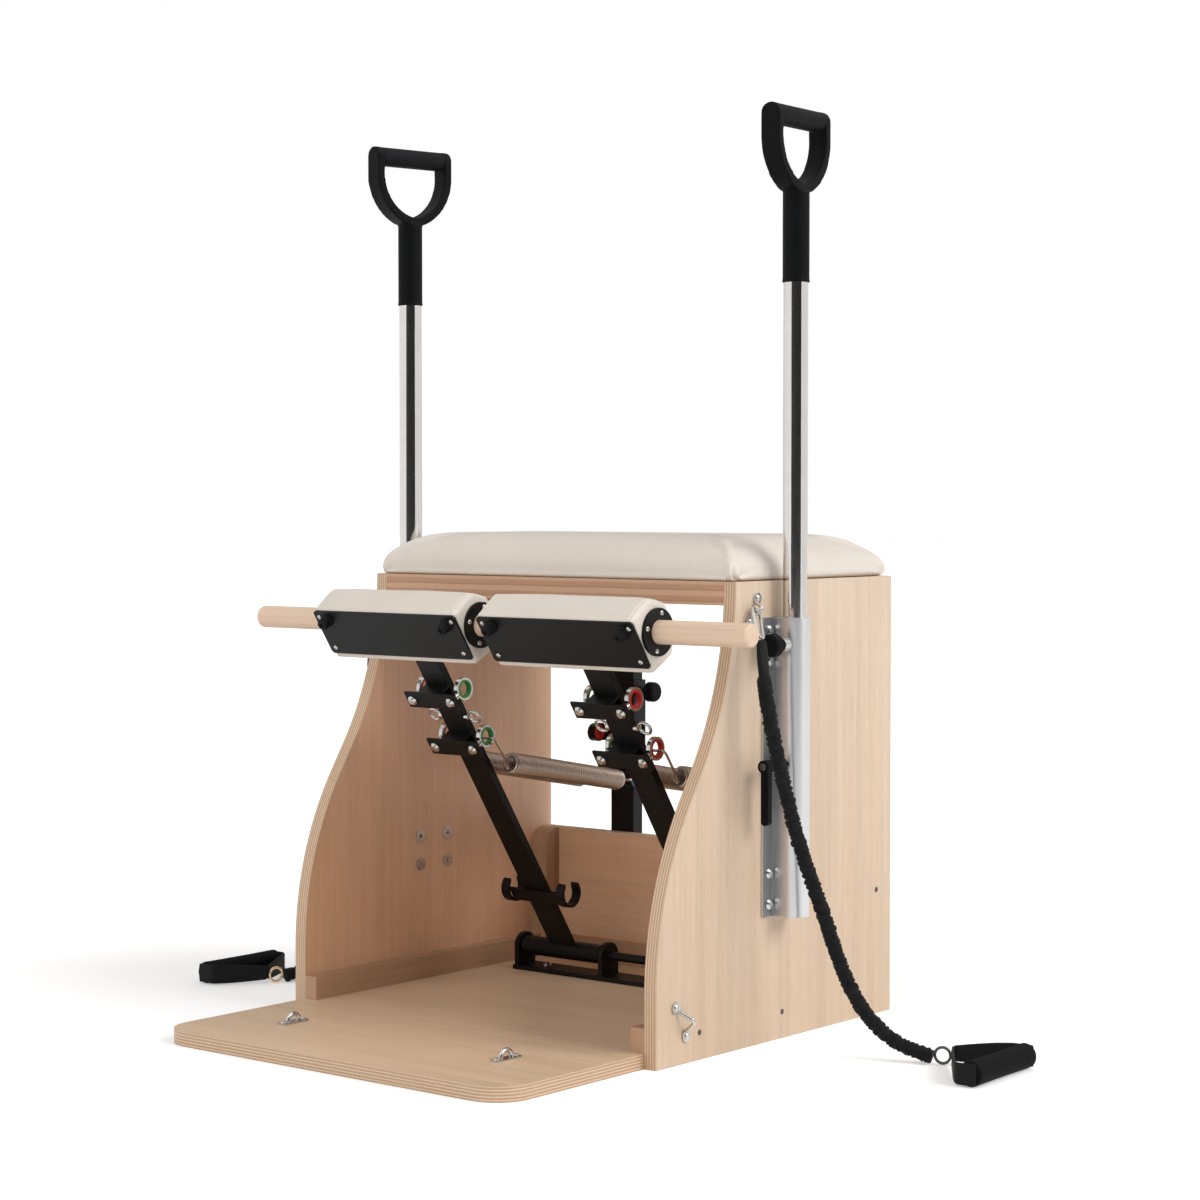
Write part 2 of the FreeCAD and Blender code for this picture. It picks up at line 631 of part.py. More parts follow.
def rear_panel():
    panel = box(-INNER_X, INNER_X, REAR_FACE_Y, PANEL_REAR_Y, BOARD_THICKNESS, REAR_PANEL_TOP_Z)
    return panel.cut(post_bolt_holes(POST_BOLT_GRIP + HOLE_FIT))


def seat_board():
    board = box(-INNER_X, INNER_X, PANEL_TOP_Y, PANEL_REAR_Y, SEAT_BOTTOM_Z, PANEL_HEIGHT)
    return board.cut(post_bolt_holes(POST_BOLT_GRIP + HOLE_FIT))


# Seat cushion: drawn in at its foot, full at its edge, crowned more gently to the rear.
def cushion_section(z, side, front, rear):
    half = CUSHION_HALF_WIDTH - side
    y0 = PANEL_TOP_Y - CUSHION_OVERHANG + front
    y1 = PANEL_REAR_Y - CUSHION_REAR_INSET - rear
    corners = [Vector(-half, y0, z), Vector(half, y0, z), Vector(half, y1, z), Vector(-half, y1, z)]
    return Part.Wire(rounded_polygon(corners, [CUSHION_CORNER_RADIUS] * 4))


def seat_cushion():
    edge = PANEL_HEIGHT + CUSHION_EDGE_HEIGHT
    dome = CUSHION_HEIGHT - CUSHION_EDGE_HEIGHT
    draw = CUSHION_DRAW_IN
    sections = [cushion_section(PANEL_HEIGHT, draw, draw, draw), cushion_section(edge, 0, 0, 0)]
    for degrees in CUSHION_CROWN_ANGLES:
        angle = math.radians(degrees)
        inward = 1.0 - math.cos(angle)
        side = CUSHION_SIDE_CROWN * inward
        front = CUSHION_FRONT_CROWN * inward
        rear = CUSHION_REAR_CROWN * inward
        sections.append(cushion_section(edge + dome * math.sin(angle), side, front, rear))
    return Part.makeLoft(sections, True, True)


# Aluminium sleeve on the panel: flat flange, straight cheeks and a half-round nose around the pole.
def pole_sleeve():
    height = SLEEVE_TOP_Z - SLEEVE_BOTTOM_Z
    half = FLANGE_WIDTH / 2.0
    flange = box(OUTER_X, FLANGE_X, POLE_Y - half, POLE_Y + half, SLEEVE_BOTTOM_Z, SLEEVE_TOP_Z)
    y0 = POLE_Y - SLEEVE_RADIUS
    cheeks = box(OUTER_X, POLE_X, y0, y0 + 2.0 * SLEEVE_RADIUS, SLEEVE_BOTTOM_Z, SLEEVE_TOP_Z)
    nose = rod(Vector(POLE_X, POLE_Y, SLEEVE_BOTTOM_Z), Z_AXIS, SLEEVE_RADIUS, height)
    sleeve = fused([flange, cheeks, nose])
    seat = Vector(POLE_X, POLE_Y, SLEEVE_BOTTOM_Z + SLEEVE_FLOOR)
    cuts = [rod(seat, Z_AXIS, POLE_RADIUS + POLE_FIT, height)]
    for y in SLEEVE_BOLT_YS:
        for z in SLEEVE_BOLT_ROWS:
            cuts.append(rod(Vector(OUTER_X, y, z), X_AXIS, SLEEVE_BOLT_RADIUS + HOLE_FIT, FLANGE_THICKNESS))
    pin = (PLUNGER_Z, PLUNGER_PIN_RADIUS + PLUNGER_FIT)
    stud = (LEVER_Z, LEVER_STUD_RADIUS + LEVER_FIT)
    for z, radius in (pin, stud):
        cuts.append(rod(Vector(POLE_X, SLEEVE_FRONT_Y, z), Y_AXIS, radius, SLEEVE_RADIUS))
    return sleeve.cut(Part.makeCompound(cuts))


def sleeve_fasteners():
    pieces = []
    for y in SLEEVE_BOLT_YS:
        for z in SLEEVE_BOLT_ROWS:
            grip = FLANGE_X - INNER_X
            shank = rod(Vector(INNER_X, y, z), X_AXIS, SLEEVE_BOLT_RADIUS, grip)
            head = button_head(Vector(FLANGE_X, y, z), X_AXIS, SLEEVE_HEAD_RADIUS, SLEEVE_HEAD_HEIGHT)
            nut = rod(Vector(INNER_X, y, z), X_AXIS * -1.0, SLEEVE_NUT_RADIUS, SLEEVE_NUT_HEIGHT)
            bolt = fused([shank, head, nut])
            socket = Vector(INNER_X - SLEEVE_NUT_HEIGHT, y, z)
            pieces.append(bolt.cut(hexagon(socket, SLEEVE_NUT_SOCKET, SLEEVE_NUT_SOCKET)))
    start = Vector(POLE_X, SLEEVE_FRONT_Y - COLLAR_LENGTH, PLUNGER_Z)
    collar = rod(start, Y_AXIS, COLLAR_RADIUS, COLLAR_LENGTH)
    pieces.append(collar.cut(rod(start, Y_AXIS, PLUNGER_PIN_RADIUS + PLUNGER_FIT, COLLAR_LENGTH)))
    return both_sides(pieces)


def button_head(base, axis, radius, height):
    # Low head with a straight rim and a bevelled crown.
    rim = height * HEAD_RIM
    disc = rod(base, axis, radius, rim)
    crown = Part.makeCone(radius, radius * HEAD_CROWN, height - rim, base + axis * rim, axis)
    return disc.fuse(crown)


def hexagon(base, radius, depth):
    # Six-sided socket running along X.
    corners = []
    for i in range(6):
        angle = math.radians(60.0 * i)
        corners.append(base + Vector(0, radius * math.cos(angle), radius * math.sin(angle)))
    return prism(polyline(corners), Vector(depth, 0, 0))


def pole():
    bottom = SLEEVE_BOTTOM_Z + SLEEVE_FLOOR + POLE_SEAT_GAP
    length = POLE_TOP_Z - bottom
    tube = rod(Vector(POLE_X, POLE_Y, bottom), Z_AXIS, POLE_RADIUS, length)
    tube = tube.cut(rod(Vector(POLE_X, POLE_Y, bottom), Z_AXIS, POLE_RADIUS - POLE_WALL, length))
    holes = []
    for i in range(INDEX_COUNT):
        start = Vector(POLE_X, POLE_Y - POLE_RADIUS - HOLE_FIT, PLUNGER_Z - i * INDEX_STEP)
        holes.append(rod(start, Y_AXIS, INDEX_HOLE_RADIUS, POLE_RADIUS))
    return tube.cut(Part.makeCompound(holes))


# D handle: a socket on the pole that forks into two curved legs with a round bar between them.
def d_handle(turn):
    leg_top = HANDLE_BAR_Z + 2.0 * HANDLE_LEG_RADIUS
    bend_top = HANDLE_BAR_Z - HANDLE_STRAIGHT
    bulge_z = HANDLE_FORK_Z + HANDLE_BULGE_SHARE * (bend_top - HANDLE_FORK_Z)
    hollow_z = HANDLE_VALLEY_Z + HANDLE_INNER_BULGE_SHARE * (bend_top - HANDLE_VALLEY_Z)
    outer = HANDLE_HALF_SPAN
    inner = HANDLE_HALF_SPAN - HANDLE_LEG_THICKNESS

    def at(y, z):
        return Vector(-HANDLE_LEG_RADIUS, y, z)

    foot = HANDLE_FOOT_HALF
    edges = [
        Part.makeLine(at(0, HANDLE_FORK_Z), at(foot, HANDLE_FORK_Z)),
        Part.Arc(at(foot, HANDLE_FORK_Z), at(HANDLE_BULGE, bulge_z), at(outer, bend_top)).toShape(),
        Part.makeLine(at(outer, bend_top), at(outer, leg_top)),
        Part.makeLine(at(outer, leg_top), at(inner, leg_top)),
        Part.makeLine(at(inner, leg_top), at(inner, bend_top)),
        Part.Arc(at(inner, bend_top), at(HANDLE_INNER_BULGE, hollow_z),
                 at(0, HANDLE_VALLEY_Z)).toShape(),
        Part.makeLine(at(0, HANDLE_VALLEY_Z), at(0, HANDLE_FORK_Z))]
    leg = prism(edges, Vector(2.0 * HANDLE_LEG_RADIUS, 0, 0))
    low = box(-HANDLE_LEG_RADIUS, HANDLE_LEG_RADIUS, 0, outer, HANDLE_FORK_Z, HANDLE_BAR_Z)
    crown = rod(Vector(0, 0, HANDLE_BAR_Z), Y_AXIS, HANDLE_LEG_RADIUS, outer)
    leg = leg.common(fused([low, crown]))
    other = leg.mirror(ORIGIN, Y_AXIS)
    bar = rod(Vector(0, -inner, HANDLE_BAR_Z), Y_AXIS, HANDLE_BAR_RADIUS, 2.0 * inner)
    neck_height = HANDLE_FORK_Z - HANDLE_NECK_BOTTOM_Z
    neck = rod(Vector(0, 0, HANDLE_NECK_BOTTOM_Z), Z_AXIS, HANDLE_NECK_RADIUS, neck_height)
    shape = fused([leg, other, bar, neck])
    depth = POLE_TOP_Z - HANDLE_NECK_BOTTOM_Z
    shape = shape.cut(rod(Vector(0, 0, HANDLE_NECK_BOTTOM_Z), Z_AXIS, POLE_RADIUS + POLE_FIT, depth))
    shape.rotate(ORIGIN, Z_AXIS, turn)
    shape.translate(Vector(POLE_X, POLE_Y, 0))
    return shape


def plunger():
    back = SLEEVE_FRONT_Y - COLLAR_LENGTH - KNOB_GAP
    front = back - KNOB_LENGTH
    tip = POLE_Y - POLE_RADIUS - PLUNGER_TIP_GAP

    def at(y, radius):
        return Vector(POLE_X + radius, y, PLUNGER_Z)

    neck = back - KNOB_NECK_LENGTH
    flare = neck - KNOB_FLARE_LENGTH
    slope = KNOB_ROUND * (1.0 - math.sqrt(0.5))
    edges = [
        Part.makeLine(at(front, 0), at(front, KNOB_RADIUS - KNOB_ROUND)),
        Part.Arc(at(front, KNOB_RADIUS - KNOB_ROUND), at(front + slope, KNOB_RADIUS - slope),
                 at(front + KNOB_ROUND, KNOB_RADIUS)).toShape(),
        Part.makeLine(at(front + KNOB_ROUND, KNOB_RADIUS), at(flare, KNOB_RADIUS)),
        Part.makeLine(at(flare, KNOB_RADIUS), at(neck, KNOB_NECK_RADIUS)),
        Part.makeLine(at(neck, KNOB_NECK_RADIUS), at(back, KNOB_NECK_RADIUS)),
        Part.makeLine(at(back, KNOB_NECK_RADIUS), at(back, PLUNGER_PIN_RADIUS)),
        Part.makeLine(at(back, PLUNGER_PIN_RADIUS), at(tip, PLUNGER_PIN_RADIUS)),
        Part.makeLine(at(tip, PLUNGER_PIN_RADIUS), at(tip, 0)),
        Part.makeLine(at(tip, 0), at(front, 0))]
    return Part.Face(Part.Wire(edges)).revolve(Vector(POLE_X, front, PLUNGER_Z), Y_AXIS, 360)


def clamp_lever():
    back = SLEEVE_FRONT_Y - LEVER_STAND_OFF
    front = back - LEVER_HUB_LENGTH
    tip = POLE_Y - POLE_RADIUS - LEVER_TIP_GAP
    hub = rod(Vector(POLE_X, front, LEVER_Z), Y_AXIS, LEVER_HUB_RADIUS, LEVER_HUB_LENGTH)
    stud = rod(Vector(POLE_X, front, LEVER_Z), Y_AXIS, LEVER_STUD_RADIUS, tip - front)
    half = LEVER_WIDTH / 2.0
    y0 = front + LEVER_INSET
    y1 = y0 + LEVER_THICKNESS
    end_z = LEVER_Z - LEVER_LENGTH + half
    blade = box(POLE_X - half, POLE_X + half, y0, y1, end_z, LEVER_Z)
    toe = rod(Vector(POLE_X, y0, end_z), Y_AXIS, half, LEVER_THICKNESS)
    return fused([hub, stud, blade, toe])


# Wire hook: two flat ends on the panel and a wire that stands out between them.
def strap_hook(top, nose, bottom):
    pieces = []
    for y, z in (top, bottom):
        pieces.append(rod(Vector(OUTER_X, y, z), X_AXIS, HOOK_PAD_RADIUS, HOOK_PAD_THICKNESS))
    points = [hook_root(top, nose), Vector(OUTER_X + HOOK_REACH, nose[0], nose[1]), hook_root(bottom, nose)]
    pieces.append(bent_rod(points, HOOK_BEND, HOOK_WIRE_RADIUS))
    hook = fused(pieces)
    screw_holes = []
    for y, z in (top, bottom):
        screw_holes.append(rod(Vector(OUTER_X, y, z), X_AXIS, SCREW_RADIUS + HOLE_FIT, HOOK_PAD_THICKNESS))
    return hook.cut(Part.makeCompound(screw_holes))


def hook_root(end, nose):
    # The wire leaves each flat end beside its screw, on the side of the nose.
    away = Vector(0, nose[0] - end[0], nose[1] - end[1]).normalize()
    beside = SCREW_HEAD_RADIUS + HOLE_FIT + HOOK_WIRE_RADIUS
    return Vector(OUTER_X + HOOK_WIRE_RADIUS, end[0], end[1]) + away * beside


def pan_screw(base, axis, grip):
    # Screw whose head seats at the base point; the grip is what the head clamps.
    start = base - axis * SCREW_LENGTH
    shank = rod(start, axis, SCREW_RADIUS, SCREW_LENGTH + grip)
    return fused([shank, button_head(base + axis * grip, axis, SCREW_HEAD_RADIUS, SCREW_HEAD_HEIGHT)])


def hook_screws():
    screws = []
    for top, nose, bottom in HOOKS:
        for y, z in (top, bottom):
            screws.append(pan_screw(Vector(OUTER_X, y, z), X_AXIS, HOOK_PAD_THICKNESS))
    screws = both_sides(screws)
    for point in floor_eye_screws():
        screws.append(pan_screw(point, Z_AXIS, EYE_PLATE_THICKNESS))
    return screws


def panel_screws():
    screws = []
    for y, z in PANEL_SCREWS:
        shank = rod(Vector(OUTER_X - PANEL_SCREW_LENGTH, y, z), X_AXIS, SCREW_RADIUS, PANEL_SCREW_LENGTH)
        head = rod(Vector(OUTER_X - PANEL_SCREW_HEAD_DEPTH, y, z), X_AXIS, PANEL_SCREW_HEAD,
                   PANEL_SCREW_HEAD_DEPTH)
        screws.append(fused([shank, head]))
    return both_sides(screws)


def floor_eyes():
    half_w = EYE_PLATE_WIDTH / 2.0
    half_l = EYE_PLATE_LENGTH / 2.0
    top = BOARD_THICKNESS + EYE_PLATE_THICKNESS
    plate = rounded_box(EYE_X - half_w, EYE_X + half_w, EYE_Y - half_l, EYE_Y + half_l,
                        BOARD_THICKNESS, top, EYE_PLATE_ROUND)
    wire = Part.makeTorus(EYE_RING_RADIUS, EYE_RING_WIRE, Vector(EYE_X, EYE_Y, top), X_AXIS)
    reach = EYE_RING_RADIUS + 2.0 * EYE_RING_WIRE
    foot = top - EYE_RING_WIRE / 2.0
    wire = wire.common(box(EYE_X - reach, EYE_X + reach, EYE_Y - reach, EYE_Y + reach, foot, top + reach))
    eye = fused([plate, wire])
    for point in floor_eye_screws()[2:]:
        eye = eye.cut(rod(point, Z_AXIS, SCREW_RADIUS + HOLE_FIT, EYE_PLATE_THICKNESS))
    return both_sides([eye])


# Pivot bracket: one plate with four rounded ears, a shaft through them.
def ear_spans():
    inner = PEDAL_X - BUSH_END_X - EAR_GAP
    outer = PEDAL_X + BUSH_END_X + EAR_GAP
    return ((inner - EAR_THICKNESS, inner), (outer, outer + EAR_THICKNESS))


def pivot_bracket():
    half = BRACKET_WIDTH / 2.0
    top = BOARD_THICKNESS + BRACKET_THICKNESS
    length = ear_spans()[1][1]
    pieces = [box(-length, length, PIVOT_Y - half, PIVOT_Y + half, BOARD_THICKNESS, top)]
    for x0, x1 in ear_spans():
        for start in (x0, -x1):
            y0 = PIVOT_Y - EAR_RADIUS
            pieces.append(box(start, start + x1 - x0, y0, y0 + 2.0 * EAR_RADIUS, BOARD_THICKNESS, PIVOT_Z))
            pieces.append(rod(Vector(start, PIVOT_Y, PIVOT_Z), X_AXIS, EAR_RADIUS, x1 - x0))
    bracket = fused(pieces)
    cuts = [rod(Vector(-length, PIVOT_Y, PIVOT_Z), X_AXIS, SHAFT_RADIUS + SHAFT_FIT, 2.0 * length)]
    for point in bracket_bolt_points():
        start = Vector(point.x, point.y, BOARD_THICKNESS)
        cuts.append(rod(start, Z_AXIS, BRACKET_BOLT_RADIUS + HOLE_FIT, BRACKET_THICKNESS))
    return bracket.cut(Part.makeCompound(cuts))


def pivot_shaft():
    half = ear_spans()[1][1] + SHAFT_OVERHANG
    return rod(Vector(-half, PIVOT_Y, PIVOT_Z), X_AXIS, SHAFT_RADIUS, 2.0 * half)


def frame_bolts():
    bolts = []
    for point in bracket_bolt_points():
        length = BOARD_THICKNESS + BRACKET_THICKNESS - HOLE_FIT
        shank = rod(point - Vector(0, 0, length), Z_AXIS, BRACKET_BOLT_RADIUS, length)
        head = button_head(point, Z_AXIS, BRACKET_BOLT_HEAD, BRACKET_BOLT_HEAD_HEIGHT)
        bolts.append(fused([shank, head]))
    for x in (-POST_X, POST_X):
        for z in POST_BOLT_ZS:
            base = Vector(x, POST_REAR_Y, z)
            length = POST_DEPTH + POST_BOLT_GRIP
            shank = rod(base - Vector(0, length, 0), Y_AXIS, POST_BOLT_RADIUS, length)
            bolts.append(fused([shank, button_head(base, Y_AXIS, POST_BOLT_HEAD, POST_BOLT_HEAD_HEIGHT)]))
    return bolts


# Pedal pieces are drawn upright over the pivot and then leaned forward onto the shaft.
def placed(shape, x):
    moved = shape.copy()
    moved.rotate(ORIGIN, X_AXIS, ARM_LEAN)
    moved.translate(Vector(x, PIVOT_Y, PIVOT_Z))
    return moved


def local(x, s, t):
    return Vector(x, -t, s)


def pedal_arm():
    half_w = ARM_WIDTH / 2.0
    half_t = ARM_THICKNESS / 2.0
    bar = box(-half_w, half_w, -half_t, half_t, 0, ARM_LENGTH)
    tube = rod(Vector(-PIVOT_TUBE_LENGTH / 2.0, 0, 0), X_AXIS, PIVOT_TUBE_RADIUS, PIVOT_TUBE_LENGTH)
    arm = fused([bar, tube])
    bore = rod(Vector(-PIVOT_TUBE_LENGTH / 2.0, 0, 0), X_AXIS, BUSH_RADIUS + BUSH_FIT, PIVOT_TUBE_LENGTH)
    depth = SIDE_EYE_STUD_LENGTH + HOLE_FIT
    cuts = [bore]
    for start in (-half_w, half_w - depth):
        cuts.append(rod(local(start, SIDE_EYE_S, 0), X_AXIS, SIDE_EYE_STUD_RADIUS + HOLE_FIT, depth))
    return arm.cut(Part.makeCompound(cuts))


def pivot_bushes():
    bushes = []
    for side in (-1.0, 1.0):
        axis = X_AXIS * side
        end = axis * (PIVOT_TUBE_LENGTH / 2.0)
        sleeve = rod(end - axis * BUSH_LENGTH, axis, BUSH_RADIUS, BUSH_LENGTH)
        flange = rod(end, axis, BUSH_FLANGE_RADIUS, BUSH_FLANGE_THICKNESS)
        bush = fused([sleeve, flange])
        length = BUSH_LENGTH + BUSH_FLANGE_THICKNESS
        bushes.append(bush.cut(rod(end - axis * BUSH_LENGTH, axis, SHAFT_RADIUS + SHAFT_FIT, length)))
    return bushes


def spring_bars():
    bars = []
    front = EYE_REAR_T - BAR_PLATE
    cheek_front = -(front + BAR_PLATE / 2.0)
    for s in (BAR_LOWER_S, BAR_UPPER_S):
        z0 = s - BAR_HEIGHT / 2.0
        z1 = s + BAR_HEIGHT / 2.0
        pieces = [box(-BAR_LENGTH / 2.0, BAR_LENGTH / 2.0, -EYE_REAR_T, -front, z0, z1)]
        half = BAR_CHEEK_LENGTH / 2.0
        back = -ARM_THICKNESS / 2.0
        pieces.append(box(-half, half, cheek_front, back, z0, z0 + BAR_PLATE))
        pieces.append(box(-half, half, cheek_front, back, z1 - BAR_PLATE, z1))
        bar = fused(pieces)
        for x in (-EYE_SPREAD / 2.0, EYE_SPREAD / 2.0):
            bar = bar.cut(rod(local(x, s, EYE_REAR_T), Y_AXIS, EYE_BOLT_RADIUS + HOLE_FIT, BAR_PLATE))
        bars.append(bar)
    return bars


def arm_eye_bolts():
    bolts = []
    for s in (BAR_LOWER_S, BAR_UPPER_S):
        for x in (-EYE_SPREAD / 2.0, EYE_SPREAD / 2.0):
            seat = local(x, s, EYE_REAR_T)
            head = button_head(seat, Y_AXIS * -1.0, EYE_BOLT_HEAD, EYE_BOLT_HEAD_HEIGHT)
            wall = (EYE_OUTER_RADIUS - EYE_INNER_RADIUS) / 2.0
            shank = rod(seat, Y_AXIS, EYE_BOLT_RADIUS, EYE_REAR_T - EYE_T - EYE_INNER_RADIUS - wall)
            eye = ring(local(x, s, EYE_T), X_AXIS, EYE_OUTER_RADIUS, EYE_INNER_RADIUS, EYE_WIDTH)
            bolts.append(fused([head, shank, eye]))
    for side in (-1.0, 1.0):
        face = local(side * ARM_WIDTH / 2.0, SIDE_EYE_S, 0)
        axis = X_AXIS * side
        stud = rod(face - axis * SIDE_EYE_STUD_LENGTH, axis, SIDE_EYE_STUD_RADIUS, SIDE_EYE_STUD_LENGTH)
        collar = rod(face, axis, SIDE_EYE_COLLAR_RADIUS, SIDE_EYE_COLLAR_LENGTH)
        centre = face + axis * (SIDE_EYE_COLLAR_LENGTH + SIDE_EYE_RING_RADIUS + SIDE_EYE_WIRE / 2.0)
        eye = Part.makeTorus(SIDE_EYE_RING_RADIUS, SIDE_EYE_WIRE, centre, Y_AXIS)
        bolts.append(fused([stud, collar, eye]))
    return bolts


def eye_liners():
    liners = []
    for s in (BAR_LOWER_S, BAR_UPPER_S):
        for x in (-EYE_SPREAD / 2.0, EYE_SPREAD / 2.0):
            outer = EYE_INNER_RADIUS - LINER_FIT
            liners.append(ring(local(x, s, EYE_T), X_AXIS, outer, LINER_INNER_RADIUS, LINER_WIDTH))
    return liners


def dowel_cradle():
    # Two upright C hooks on a plate across the arm's front.
    outer = CRADLE_INNER_RADIUS + CRADLE_BAND
    back = ARM_THICKNESS / 2.0
    half = CRADLE_SPREAD / 2.0
    z0 = CRADLE_S - CRADLE_PLATE_HEIGHT / 2.0
    z1 = CRADLE_S + CRADLE_PLATE_HEIGHT / 2.0
    pieces = [box(-half, half, -back - CRADLE_PLATE_THICKNESS, -back, z0, z1)]
    hollow = []
    for x in (-half, half):
        centre = local(x, CRADLE_S, CRADLE_T)
        start = centre - X_AXIS * (CRADLE_WIDTH / 2.0)
        pieces.append(rod(start, X_AXIS, outer, CRADLE_WIDTH))
        hollow.append(rod(start, X_AXIS, CRADLE_INNER_RADIUS, CRADLE_WIDTH))
        reach = CRADLE_WIDTH / 2.0
        mouth = box(-reach, reach, -CRADLE_MOUTH / 2.0, CRADLE_MOUTH / 2.0, 0, 2.0 * outer)
        mouth.rotate(ORIGIN, X_AXIS, -ARM_LEAN)
        mouth.translate(centre)
        hollow.append(mouth)
    return fused(pieces).cut(Part.makeCompound(hollow))


# Pad section in the plane across the pedal, swollen or drawn in all round but at its flat front.
def pad_section(x, swell, radius):
    corners = [
        local(x, PAD_TOP_S - PAD_FRONT_TAPER + swell, PAD_FRONT_T),
        local(x, PAD_TOP_S + swell, PAD_SHOULDER_T),
        local(x, PAD_BACK_TOP_S, PAD_BACK_T - swell),
        local(x, PAD_BACK_BOTTOM_S, PAD_BACK_T - swell),
        local(x, PAD_BOTTOM_S - swell, PAD_SHOULDER_T),
        local(x, PAD_BOTTOM_S + PAD_FRONT_TAPER - swell, PAD_FRONT_T)]
    return rounded_polygon(corners, [radius / 3.0, radius, radius, radius, radius, radius / 3.0])


def dowel_hole(clearance, half_length):
    start = local(-half_length, DOWEL_S, DOWEL_T)
    return rod(start, X_AXIS, DOWEL_RADIUS + clearance, 2.0 * half_length)


def arm_slot():
    half_w = ARM_WIDTH / 2.0 + PAD_FIT
    half_t = ARM_THICKNESS / 2.0 + PAD_FIT
    return box(-half_w, half_w, -half_t, half_t, 0, ARM_LENGTH + PAD_FIT)


def core_block(grow):
    half = PAD_HALF_LENGTH - CORE_END_INSET + grow
    edges = pad_section(-half, grow - CORE_INSET, PAD_CORNER_RADIUS)
    return prism(edges, Vector(2.0 * half, 0, 0))


def pedal_core():
    core = core_block(0.0)
    return core.cut(dowel_hole(DOWEL_PAD_CLEARANCE, PAD_HALF_LENGTH)).cut(arm_slot())


def pedal_pad():
    end = PAD_HALF_LENGTH
    near = PAD_HALF_LENGTH - PAD_END_ROUND
    spans = ((-end, -PAD_DRAW_IN), (-near, 0.0), (0.0, PAD_SWELL), (near, 0.0), (end, -PAD_DRAW_IN))
    sections = [Part.Wire(pad_section(x, swell, PAD_CORNER_RADIUS)) for x, swell in spans]
    pad = Part.makeLoft(sections, True, False)
    pad = pad.cut(core_block(PAD_FIT))
    return pad.cut(dowel_hole(DOWEL_PAD_CLEARANCE, PAD_HALF_LENGTH)).cut(arm_slot())


def pedal_plate():
    corners = []
    half = PAD_HALF_LENGTH
    low = PLATE_BOTTOM_S
    high = PLATE_TOP_S
    for x, s in ((-half, low), (half, low), (half, high), (-half, high)):
        corners.append(local(x, s, PAD_FRONT_T))
    return prism(rounded_polygon(corners, [PLATE_CORNER_RADIUS] * 4), Vector(0, -PLATE_THICKNESS, 0))


def pedal_bumpers():
    bumpers = []
    for x in (-BUMPER_SPREAD / 2.0, BUMPER_SPREAD / 2.0):
        base = local(x, BUMPER_S, PAD_FRONT_T + PLATE_THICKNESS)
        bumpers.append(Part.makeCone(BUMPER_RADIUS, BUMPER_TIP_RADIUS, BUMPER_LENGTH, base, Y_AXIS * -1.0))
    return bumpers


def dowel_flanges():
    discs = []
    for side in (-1.0, 1.0):
        axis = X_AXIS * side
        start = local(side * PAD_HALF_LENGTH, DOWEL_S, DOWEL_T)
        disc = rod(start, axis, FLANGE_DISC_RADIUS, FLANGE_DISC_THICKNESS)
        discs.append(disc.cut(rod(start, axis, DOWEL_RADIUS + DOWEL_FIT, FLANGE_DISC_THICKNESS)))
    return discs


def dowel():
    half = DOWEL_LENGTH / 2.0
    bar = rod(local(-half, DOWEL_S, DOWEL_T), X_AXIS, DOWEL_RADIUS, DOWEL_LENGTH)
    rims = [edge for edge in bar.Edges if edge.Closed and isinstance(edge.Curve, Part.Circle)]
    return bar.makeFillet(DOWEL_END_ROUND, rims)


# Rear post, its height carriage and the pull knob on the carriage's inner side.
def spring_posts():
    half = POST_WIDTH / 2.0
    post = box(POST_X - half, POST_X + half, PANEL_REAR_Y, POST_REAR_Y, POST_BOTTOM_Z, PANEL_HEIGHT)
    inner = half - POST_WALL
    hollow = box(POST_X - inner, POST_X + inner, PANEL_REAR_Y + POST_WALL, POST_REAR_Y - POST_WALL,
                 POST_BOTTOM_Z, PANEL_HEIGHT)
    return both_sides([post.cut(hollow).cut(post_bolt_holes(0.0))])


def carriage():
    top = CARRIAGE_BOTTOM_Z + CARRIAGE_HEIGHT
    x0 = POST_X - CARRIAGE_HALF
    x1 = POST_X + CARRIAGE_HALF
    pieces = [box(x0, x1, CARRIAGE_FRONT_Y, CARRIAGE_REAR_Y, CARRIAGE_BOTTOM_Z, top)]
    hollow = []
    mid_y = (PANEL_REAR_Y + POST_REAR_Y) / 2.0
    for z in CARRIAGE_EYE_ZS:
        half = BAR_LENGTH / 2.0
        pieces.append(box(POST_X - half, POST_X + half, CARRIAGE_FRONT_Y - BAR_PLATE, CARRIAGE_FRONT_Y,
                          z - BAR_HEIGHT / 2.0, z + BAR_HEIGHT / 2.0))
        for x in (POST_X - EYE_SPREAD / 2.0, POST_X + EYE_SPREAD / 2.0):
            start = Vector(x - CARRIAGE_EYE_WIDTH / 2.0, CARRIAGE_EYE_Y, z)
            pieces.append(rod(start, X_AXIS, CARRIAGE_EYE_OUTER, CARRIAGE_EYE_WIDTH))
            hollow.append(rod(start, X_AXIS, CARRIAGE_EYE_INNER, CARRIAGE_EYE_WIDTH))
    boss = Vector(x0, mid_y, PULL_Z)
    pieces.append(rod(boss, X_AXIS * -1.0, PULL_BOSS_RADIUS, PULL_BOSS_LENGTH))
    run = CARRIAGE_HALF - CARRIAGE_WALL
    depth = CARRIAGE_FIT
    hollow.append(box(POST_X - run, POST_X + run, PANEL_REAR_Y - depth, POST_REAR_Y + depth,
                      CARRIAGE_BOTTOM_Z, top))
    reach = CARRIAGE_WALL + PULL_BOSS_LENGTH
    start = Vector(x0 - PULL_BOSS_LENGTH, mid_y, PULL_Z)
    hollow.append(rod(start, X_AXIS, PULL_STEM_RADIUS + PULL_FIT, reach))
    return fused(pieces).cut(Part.makeCompound(hollow))


